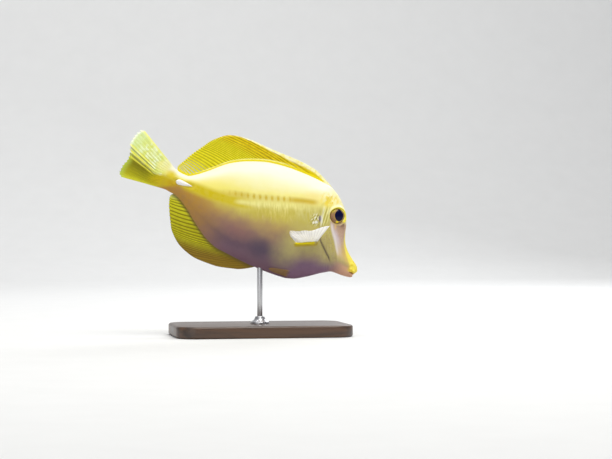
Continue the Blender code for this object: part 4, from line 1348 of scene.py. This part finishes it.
def pectoral_material():
    """Thin cloudy membrane with faint greyish lines, yellow at its root and clearer at its rear margin."""
    n = Nodes("pectoral_membrane")
    place = n.attribute("fish_place", "Vector")
    phase, out = n.attribute("ray_phase"), n.attribute("fin_out")
    lines = n.times(ray_lines(n, phase, 0.25, 0.5), n.span(out, 0.12, 0.45))
    cloud = n.noise(place, 0.5, 3.0)
    lines = n.times(lines, n.span(phase, 13.3, 12.3))
    colour = n.mix(n.times(lines, 0.3), (0.95, 0.94, 0.96), (0.68, 0.62, 0.75))
    colour = n.mix(n.span(out, 0.05, 0.015), colour, (0.76, 0.66, 0.04))
    sheer = n.rest(n.times(lines, 0.10))
    sheer = n.math("SUBTRACT", sheer, n.times(n.span(cloud, 0.4, 0.7), 0.04))
    rear = n.times(n.span(out, 0.62, 1.0), n.times(n.span(phase, 5.0, 8.5), n.span(phase, 13.4, 12.6)))
    sheer = n.math("SUBTRACT", sheer, n.times(rear, 0.5), clamp=True)
    n.set_constants({"Subsurface Weight": 1.0, "Subsurface Radius": (1.0, 1.0, 1.0),
                     "Subsurface Scale": 0.002, "Coat Weight": 0.2})
    normal = n.bump(n.noise(place, 3.0, 2.0), 0.0001, 0.25)
    return n.finish(Base_Color=colour, Roughness=0.4, Alpha=sheer, Normal=normal)


def oval_reach(n, x, z, half_wide, half_tall):
    """1 on the edge of an oval, less inside it."""
    across = n.math("DIVIDE", x, half_wide)
    tall = n.math("DIVIDE", z, half_tall)
    return n.math("SQRT", n.plus(n.times(across, across), n.times(tall, tall)))


def eye_material(name):
    """A navy-black pupil, narrower above, in a bronze and plum iris with a gold ring and a dark edge."""
    n = Nodes(name)
    place = n.attribute("eye_place", "Vector")
    whole_x, whole_z = n.part(place, 0), n.part(place, 2)
    radius = oval_reach(n, whole_x, whole_z, 1.0, 1.0)
    x, z = n.plus(whole_x, -PUPIL_PLACE[0]), n.plus(whole_z, -PUPIL_PLACE[1])
    narrowed = n.times(n.span(z, 0.4, 3.9, 1.0, 0.6), PUPIL_HALF_WIDTH)
    inside = oval_reach(n, x, z, narrowed, PUPIL_HALF_HEIGHT)
    streaks = n.noise(place, 1.5, 4.0)
    iris = n.mix(n.span(streaks, 0.35, 0.65), (0.24, 0.11, 0.09), (0.36, 0.22, 0.08))
    iris = n.mix(n.times(n.span(whole_z, 0.5, 3.6), n.span(inside, 1.1, 1.6)), iris, (0.50, 0.40, 0.04))
    iris = n.mix(n.times(n.span(inside, 1.22, 1.04), 0.7), iris, (0.46, 0.30, 0.05))
    notch = n.times(n.span(z, -3.1, -3.7), n.span(n.math("ABSOLUTE", n.plus(x, 1.2)), 1.0, 0.5))
    iris = n.mix(notch, iris, (0.86, 0.68, 0.02))
    iris = n.mix(n.span(radius, 3.9, 4.3), iris, (0.22, 0.14, 0.04))
    colour = n.mix(n.span(inside, 1.02, 0.97), iris, (0.001, 0.001, 0.03))
    n.set_constants({"Specular IOR Level": 0.1, "Coat Weight": 0.3, "Coat Roughness": 0.03, "Coat IOR": 1.36})
    return n.finish(Base_Color=colour, Roughness=n.span(inside, 0.97, 1.03, 0.15, 0.4))


def spine_material():
    """Smooth white bone with faint darker streaks along it."""
    n = Nodes("spine_enamel")
    place = n.attribute("fish_place", "Vector")
    shade = n.noise(n.stretched(place, (0.5, 2.0, 2.0)), 1.6, 2.0)
    colour = n.mix(n.span(shade, 0.3, 0.7), (0.88, 0.87, 0.84), (0.80, 0.77, 0.70))
    normal = n.bump(n.noise(n.stretched(place, (0.3, 3.0, 3.0)), 2.0, 2.0), 0.0001, 0.2)
    n.set_constants({"Coat Weight": 0.4})
    return n.finish(Base_Color=colour, Roughness=0.3, Normal=normal)


def wood_material():
    """Dark stained hardwood: long grain, pores and a satin lacquer."""
    n = Nodes("stand_stained_wood")
    place = n.add("ShaderNodeTexCoord").outputs["Object"]
    warp = n.noise(n.stretched(place, (9, 60, 60)), 1.0, 3.0)
    shifted = n.add("ShaderNodeVectorMath", operation="ADD")
    n.plug(shifted.inputs[0], n.stretched(place, (6, 150, 150)))
    n.plug(shifted.inputs[1], warp)
    grain = n.noise(shifted.outputs[0], 1.4, 6.0, 0.6)
    pores = n.noise(n.stretched(place, (70, 1900, 1900)), 1.0, 2.0)
    colour = n.mix(n.span(grain, 0.32, 0.68), (0.032, 0.016, 0.009), (0.105, 0.052, 0.026))
    colour = n.mix(n.times(n.span(pores, 0.6, 0.72), 0.6), colour, (0.014, 0.008, 0.005))
    normal = n.bump(n.math("SUBTRACT", grain, n.times(pores, 0.5)), 0.0002, 0.25)
    n.set_constants({"Coat Weight": 0.35, "Coat Roughness": 0.2})
    return n.finish(Base_Color=colour, Roughness=n.span(grain, 0.3, 0.7, 0.42, 0.55), Normal=normal)


def steel_material():
    """Brushed steel, drawn lengthways."""
    n = Nodes("stand_brushed_steel")
    place = n.add("ShaderNodeTexCoord").outputs["Object"]
    brushing = n.noise(n.stretched(place, (3000, 3000, 60)), 1.0, 3.0)
    colour = n.mix(n.span(brushing, 0.3, 0.7), (0.50, 0.50, 0.52), (0.66, 0.66, 0.67))
    normal = n.bump(brushing, 0.00005, 0.3)
    rough = n.span(brushing, 0.3, 0.7, 0.22, 0.38)
    return n.finish(Base_Color=colour, Metallic=1.0, Roughness=rough, Normal=normal)


def floor_material():
    n = Nodes("studio_paper")
    place = n.add("ShaderNodeTexCoord").outputs["Object"]
    colour = n.mix(n.noise(place, 40, 3.0), (0.73, 0.73, 0.72), (0.77, 0.77, 0.76))
    return n.finish(Base_Color=colour, Roughness=0.85)


# The other pieces


def build_pectoral_fins():
    """The two side fins, spread sideways, each a thin blade cupped between its rays."""
    share = np.linspace(0, 1, 121)[:, None]
    out = np.linspace(0, 1, 49)[None, :]
    for name, side in (("left", 1), ("right", -1)):
        (fore_along, fore_up), (rear_along, rear_up) = PECTORAL_ROOT
        root_along = fore_along + (rear_along - fore_along) * share
        root_up = fore_up + (rear_up - fore_up) * share
        root_out = plain_half_width(root_along, root_up) - 0.3
        root = np.stack([root_along, root_out, root_up], axis=-1)
        tip = np.stack([smooth(PECTORAL_TIPS, share, k) for k in (1, 2, 3)], axis=-1)
        phase = share * (PECTORAL_RAY_COUNT - 1) + 0 * out
        notch = 1 - 0.012 * (1 - ridge(phase, 0.7)) * out ** 4
        sheet = root + (tip - root) * (out * notch)[..., None]
        sheet[..., 1] -= 1.5 * np.sin(pi * out) * np.sin(pi * share)
        sheet[..., 2] += 0.35 * np.sin(2 * pi * share * 2.5) * out ** 2
        sheet[..., 1] *= side
        split = ease(out, 0.45, 0.7)
        rays = ridge(phase) * (1 - split) + ridge(2 * phase, 1.2) * 0.7 * split
        half = 0.09 + 0.55 * np.exp(-out * 14) + 0.15 * rays * (1 - 0.5 * out)
        half = half + 0.22 * bell(share - 0.015, 0.035) * (1 - 0.6 * out)
        values = {"fin_out": out + 0 * share, "ray_phase": phase}
        piece = join(pillow("pectoral_" + name, sheet, half, values), "pectoral_fin_skin_" + name)
        piece.data.materials.append(pectoral_material())
        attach(piece, BODY)
        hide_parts("pectoral_fin_" + name)


def build_eyes():
    """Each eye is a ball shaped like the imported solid's, with a slightly fuller cornea."""
    material = eye_material("tang_eye")
    for name, side in (("left", 1), ("right", -1)):
        low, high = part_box("eye_" + name)
        shift = Place.turn @ np.array([SOCKET[0] - EYE_PLACE[0], 0.0, SOCKET[1] - EYE_PLACE[1]]) * MM
        centre = np.array((low + high) / 2) + shift
        half_depth = (high.y - low.y) / 2
        radius = (SOCKET_RADIUS + EYE_OVERLAP) * MM
        deselect()
        bpy.ops.mesh.primitive_uv_sphere_add(segments=96, ring_count=64, radius=1)
        ball = bpy.context.object
        ball.name = "eye_ball_" + name
        points = np.empty(len(ball.data.vertices) * 3)
        ball.data.vertices.foreach_get("co", points)
        points = points.reshape(-1, 3)
        # The sphere's pole becomes the middle of the pupil
        local = np.column_stack([points[:, 0], side * points[:, 2], points[:, 1]])
        facing = np.clip(side * local[:, 1], 0, 1)
        cornea = 1 + 0.05 * ease(facing, 0.55, 1.0)
        shaped = local * (radius, half_depth, radius) * cornea[:, None]
        ball.data.vertices.foreach_set("co", (shaped + centre).ravel())
        layer = ball.data.attributes.new("eye_place", "FLOAT_VECTOR", "POINT")
        layer.data.foreach_set("vector", np.ascontiguousarray(shaped / MM).ravel())
        face_outward()
        bpy.ops.object.shade_smooth()
        ball.data.materials.append(material)
        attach(ball, BODY)
        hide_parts("eye_" + name)


def build_tail_spines():
    """Each spine is a folded lancet: blunt at its hinge, keeled, and pointed forward."""
    material = spine_material()
    around = np.linspace(0, 2 * pi, 49)[None, :]
    share = np.linspace(0, 1, 61)[:, None]
    (rear_along, rear_up), (tip_along, tip_up) = SPINE_LINE
    for name, side in (("left", 1), ("right", -1)):
        body = SPINE_HALF_HEIGHT * (1 - np.exp(-share * 14)) * (1 - share ** 1.7) ** 0.9
        along = rear_along + (tip_along - rear_along) * share
        up = rear_up + (tip_up - rear_up) * share
        slant = np.arctan2(tip_up - rear_up, tip_along - rear_along)
        keel = np.abs(np.cos(around)) ** 1.25 * np.sign(np.cos(around))
        rounding = np.abs(np.sin(around)) ** 1.1 * np.sign(np.sin(around))
        depth = SPINE_HALF_THICKNESS * np.clip(body / 0.8, 0, 1) * rounding
        surface = plain_half_width(along, up) + SPINE_RISE - SPINE_HALF_THICKNESS
        sheet = np.stack([along - body * keel * np.sin(slant), side * (surface + depth),
                          up + body * keel * np.cos(slant)], axis=-1)
        piece = join([sheet_of("spine_" + name, sheet, {})], "tail_spine_skin_" + name)
        piece.data.materials.append(material)
        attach(piece, BODY)
        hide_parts("tail_spine_" + name)


def finish_stand_piece(piece, node, material):
    """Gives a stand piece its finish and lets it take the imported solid's place."""
    deselect()
    piece.select_set(True)
    bpy.context.view_layer.objects.active = piece
    bpy.ops.object.transform_apply(location=True, rotation=True, scale=True)
    bpy.ops.object.shade_smooth_by_angle(angle=radians(40))
    piece.data.materials.clear()
    piece.data.materials.append(material)
    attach(piece, BODY)
    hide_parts(node)


def apply_bevel(piece, width, segments):
    bpy.context.view_layer.objects.active = piece
    rounding = piece.modifiers.new("Rounding", "BEVEL")
    rounding.width = width
    rounding.segments = segments
    rounding.limit_method = "ANGLE"
    rounding.angle_limit = radians(60)
    bpy.ops.object.modifier_apply(modifier=rounding.name)


def build_base():
    """A flat wooden block with round corners."""
    low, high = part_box("stand_base")
    size, middle = high - low, (low + high) / 2
    deselect()
    bpy.ops.mesh.primitive_cube_add(size=1, location=middle, scale=size)
    base = bpy.context.object
    base.name = "stand_base_wood"
    bpy.ops.object.transform_apply(location=True, rotation=True, scale=True)
    bpy.ops.object.mode_set(mode="EDIT")
    shape = bmesh.from_edit_mesh(base.data)
    for part in (*shape.verts, *shape.edges, *shape.faces):
        part.select = False
    for edge in shape.edges:
        edge.select = abs(edge.verts[0].co.z - edge.verts[1].co.z) > size.z / 2
    bmesh.update_edit_mesh(base.data)
    bpy.ops.mesh.bevel(offset=BASE_CORNER_RADIUS, segments=14, affect="EDGES")
    bpy.ops.object.mode_set(mode="OBJECT")
    apply_bevel(base, stand_sizes().edge_rounding, 5)
    finish_stand_piece(base, "stand_base", wood_material())


def build_rod(low, high, steel):
    """The straight rod between two corners of its box."""
    deselect()
    bpy.ops.mesh.primitive_cylinder_add(vertices=stand_sizes().rod_sides, radius=(high.x - low.x) / 2,
                                        depth=high.z - low.z, location=(low + high) / 2)
    rod = bpy.context.object
    rod.name = "stand_rod_steel"
    apply_bevel(rod, ROD_ROUNDING, 2)
    finish_stand_piece(rod, "stand_rod", steel)


def build_collar(inner, steel):
    """A turned collar round the rod, wide at its foot and slim at its top."""
    low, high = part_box("stand_collar")
    outer = (high.x - low.x) / 2
    foot, top = low.z - 0.2 * MM, high.z
    profile = ((inner, foot), (outer, foot), (outer, foot + 0.9 * MM),
               (outer - 0.3 * MM, foot + 1.25 * MM), (outer * 0.66, foot + 2.2 * MM),
               (outer * 0.55, foot + 3.2 * MM), (outer * 0.53, top - 0.3 * MM), (outer * 0.47, top),
               (inner, top))
    deselect()
    bpy.ops.mesh.primitive_circle_add(vertices=len(profile), radius=1)
    collar = bpy.context.object
    collar.name = "stand_collar_steel"
    for vertex, (x, z) in zip(collar.data.vertices, profile):
        vertex.co = (x, 0.0, z)
    turned = collar.modifiers.new("Turned", "SCREW")
    turned.steps = 64
    turned.render_steps = 64
    turned.use_merge_vertices = True
    turned.merge_threshold = 1e-6
    bpy.ops.object.modifier_apply(modifier=turned.name)
    face_outward()
    finish_stand_piece(collar, "stand_collar", steel)


def build_stand():
    """The wooden base, the steel rod and the collar where it leaves the base."""
    build_base()
    low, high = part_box("stand_rod")
    steel = steel_material()
    build_rod(low, high, steel)
    build_collar((high.x - low.x) / 2, steel)


# Stage

PHOTO_SIZE = (612, 459)
# The base of the tail in the photograph, in its pixels
TAIL_BASE_PIXEL = (178, 186)
METRES_PER_PIXEL = 0.0005853
# What the lamps aim at
MODEL_MIDDLE = (0.0, 0.0, 0.07)


def area_light(name, place, aim, width, height, power, tint=(1, 1, 1)):
    light = bpy.data.lights.new(name, "AREA")
    light.shape = "RECTANGLE"
    light.size = width
    light.size_y = height
    light.energy = power
    light.color = tint
    lamp = bpy.data.objects.new(name, light)
    bpy.context.scene.collection.objects.link(lamp)
    lamp.location = place
    lamp.rotation_euler = (Vector(aim) - Vector(place)).to_track_quat("-Z", "Y").to_euler()


def build_floor():
    """A pale floor that sweeps up behind."""
    deselect()
    bpy.ops.mesh.primitive_grid_add(x_subdivisions=2, y_subdivisions=48, size=1)
    floor = bpy.context.object
    floor.name = "studio_floor"
    sweep_start, sweep_radius, front, width = 0.9, 0.6, -2.5, 7.0
    length = -front + sweep_start + sweep_radius * pi / 2 + 1.6
    for vertex in floor.data.vertices:
        reach = front + (vertex.co.y + 0.5) * length
        bend = min(max(reach - sweep_start, 0) / sweep_radius, pi / 2)
        y = min(reach, sweep_start) + sweep_radius * sin(bend)
        z = sweep_radius * (1 - cos(bend)) + max(reach - sweep_start - sweep_radius * pi / 2, 0)
        vertex.co = (vertex.co.x * width, y, z)
    bpy.ops.object.shade_smooth()
    floor.data.materials.append(floor_material())


def build_camera():
    """The photograph's camera: it sees the base of the tail where the photograph has it."""
    settings = bpy.context.scene.stage_settings
    turn = settings.turn
    forward = Vector((sin(turn), cos(turn), 0))
    right = Vector((cos(turn), -sin(turn), 0))
    tail_base = Vector(Place.offset)
    across = (PHOTO_SIZE[0] / 2 - TAIL_BASE_PIXEL[0]) * METRES_PER_PIXEL
    down = (PHOTO_SIZE[1] / 2 - TAIL_BASE_PIXEL[1]) * METRES_PER_PIXEL
    aim = tail_base + right * across - Vector((0, 0, down))
    distance = PHOTO_SIZE[0] * METRES_PER_PIXEL * settings.focal_length / settings.sensor
    data = bpy.data.cameras.new("photo_camera")
    data.lens = settings.focal_length
    data.sensor_width = settings.sensor
    camera = bpy.data.objects.new("photo_camera", data)
    bpy.context.scene.collection.objects.link(camera)
    camera.location = aim - forward * distance
    camera.rotation_euler = forward.to_track_quat("-Z", "Y").to_euler()
    bpy.context.scene.camera = camera


def build_lights():
    """Soft lamps round the model, and a faint blue light from everywhere."""
    area_light("key_above", (0.10, -0.35, 0.95), MODEL_MIDDLE, 0.7, 0.5, 7.5, (1.0, 0.99, 0.95))
    area_light("fill_front", (-0.7, -1.1, 0.35), MODEL_MIDDLE, 0.9, 0.7, 2.2)
    area_light("rim_behind", (0.5, 0.75, 0.6), MODEL_MIDDLE, 0.5, 0.4, 3.0, (0.95, 0.97, 1.0))
    area_light("backdrop_wash", (0.0, 0.3, 1.6), (0.0, 1.4, 0.5), 1.6, 0.5, 14.0)
    world = bpy.data.worlds.new("studio_air")
    world.use_nodes = True
    air = world.node_tree.nodes["Background"].inputs
    air["Color"].default_value = (0.92, 0.94, 1.0, 1.0)
    air["Strength"].default_value = 0.36
    bpy.context.scene.world = world
    bpy.context.scene.view_settings.view_transform = "Standard"


def build_stage():
    build_floor()
    build_camera()
    build_lights()


# Operators


class TANG_OT_skin(Operator):
    """Make the skin of the fish, with its back, belly, tail and pelvic fins"""

    bl_idname = "tang.skin"
    bl_label = "Skin"

    def execute(self, context):
        build_skin()
        return {"FINISHED"}


class TANG_OT_pectoral_fins(Operator):
    """Make the two side fins"""

    bl_idname = "tang.pectoral_fins"
    bl_label = "Side fins"

    def execute(self, context):
        build_pectoral_fins()
        return {"FINISHED"}


class TANG_OT_eyes(Operator):
    """Make both eyes"""

    bl_idname = "tang.eyes"
    bl_label = "Eyes"

    def execute(self, context):
        build_eyes()
        return {"FINISHED"}


class TANG_OT_tail_spines(Operator):
    """Make the white spine on each side of the tail stalk"""

    bl_idname = "tang.tail_spines"
    bl_label = "Tail spines"

    def execute(self, context):
        build_tail_spines()
        return {"FINISHED"}


class TANG_OT_stand(Operator):
    """Make the display stand"""

    bl_idname = "tang.stand"
    bl_label = "Stand"

    def execute(self, context):
        build_stand()
        return {"FINISHED"}


class TANG_OT_stage(Operator):
    """Make the floor, the lamps and the camera"""

    bl_idname = "tang.stage"
    bl_label = "Stage"

    def execute(self, context):
        build_stage()
        return {"FINISHED"}


class TANG_PT_panel(Panel):
    """Lists the fish's operators and settings"""

    bl_label = "Yellow tang"
    bl_idname = "TANG_PT_panel"
    bl_space_type = "VIEW_3D"
    bl_region_type = "UI"
    bl_category = "Yellow tang"

    def draw(self, context):
        for operator in OPERATORS:
            self.layout.operator(operator.bl_idname)
        for group in (context.scene.tang_sizes, context.scene.tang_colours, context.scene.stand_sizes,
                      context.scene.stage_settings):
            for name in group.__annotations__:
                self.layout.prop(group, name)


GROUPS = (TangSizes, TangColours, StandSizes, StageSettings)
OPERATORS = (TANG_OT_skin, TANG_OT_pectoral_fins, TANG_OT_eyes, TANG_OT_tail_spines, TANG_OT_stand,
             TANG_OT_stage)


def register():
    for group in (*GROUPS, *OPERATORS, TANG_PT_panel):
        bpy.utils.register_class(group)
    bpy.types.Scene.tang_sizes = PointerProperty(type=TangSizes)
    bpy.types.Scene.tang_colours = PointerProperty(type=TangColours)
    bpy.types.Scene.stand_sizes = PointerProperty(type=StandSizes)
    bpy.types.Scene.stage_settings = PointerProperty(type=StageSettings)


def unregister():
    for name in ("tang_sizes", "tang_colours", "stand_sizes", "stage_settings"):
        delattr(bpy.types.Scene, name)
    for group in reversed((*GROUPS, *OPERATORS, TANG_PT_panel)):
        bpy.utils.unregister_class(group)


def main():
    register()
    Place.find()
    bpy.ops.tang.skin()
    bpy.ops.tang.pectoral_fins()
    bpy.ops.tang.eyes()
    bpy.ops.tang.tail_spines()
    bpy.ops.tang.stand()
    bpy.ops.tang.stage()


if __name__ == "__main__":
    main()
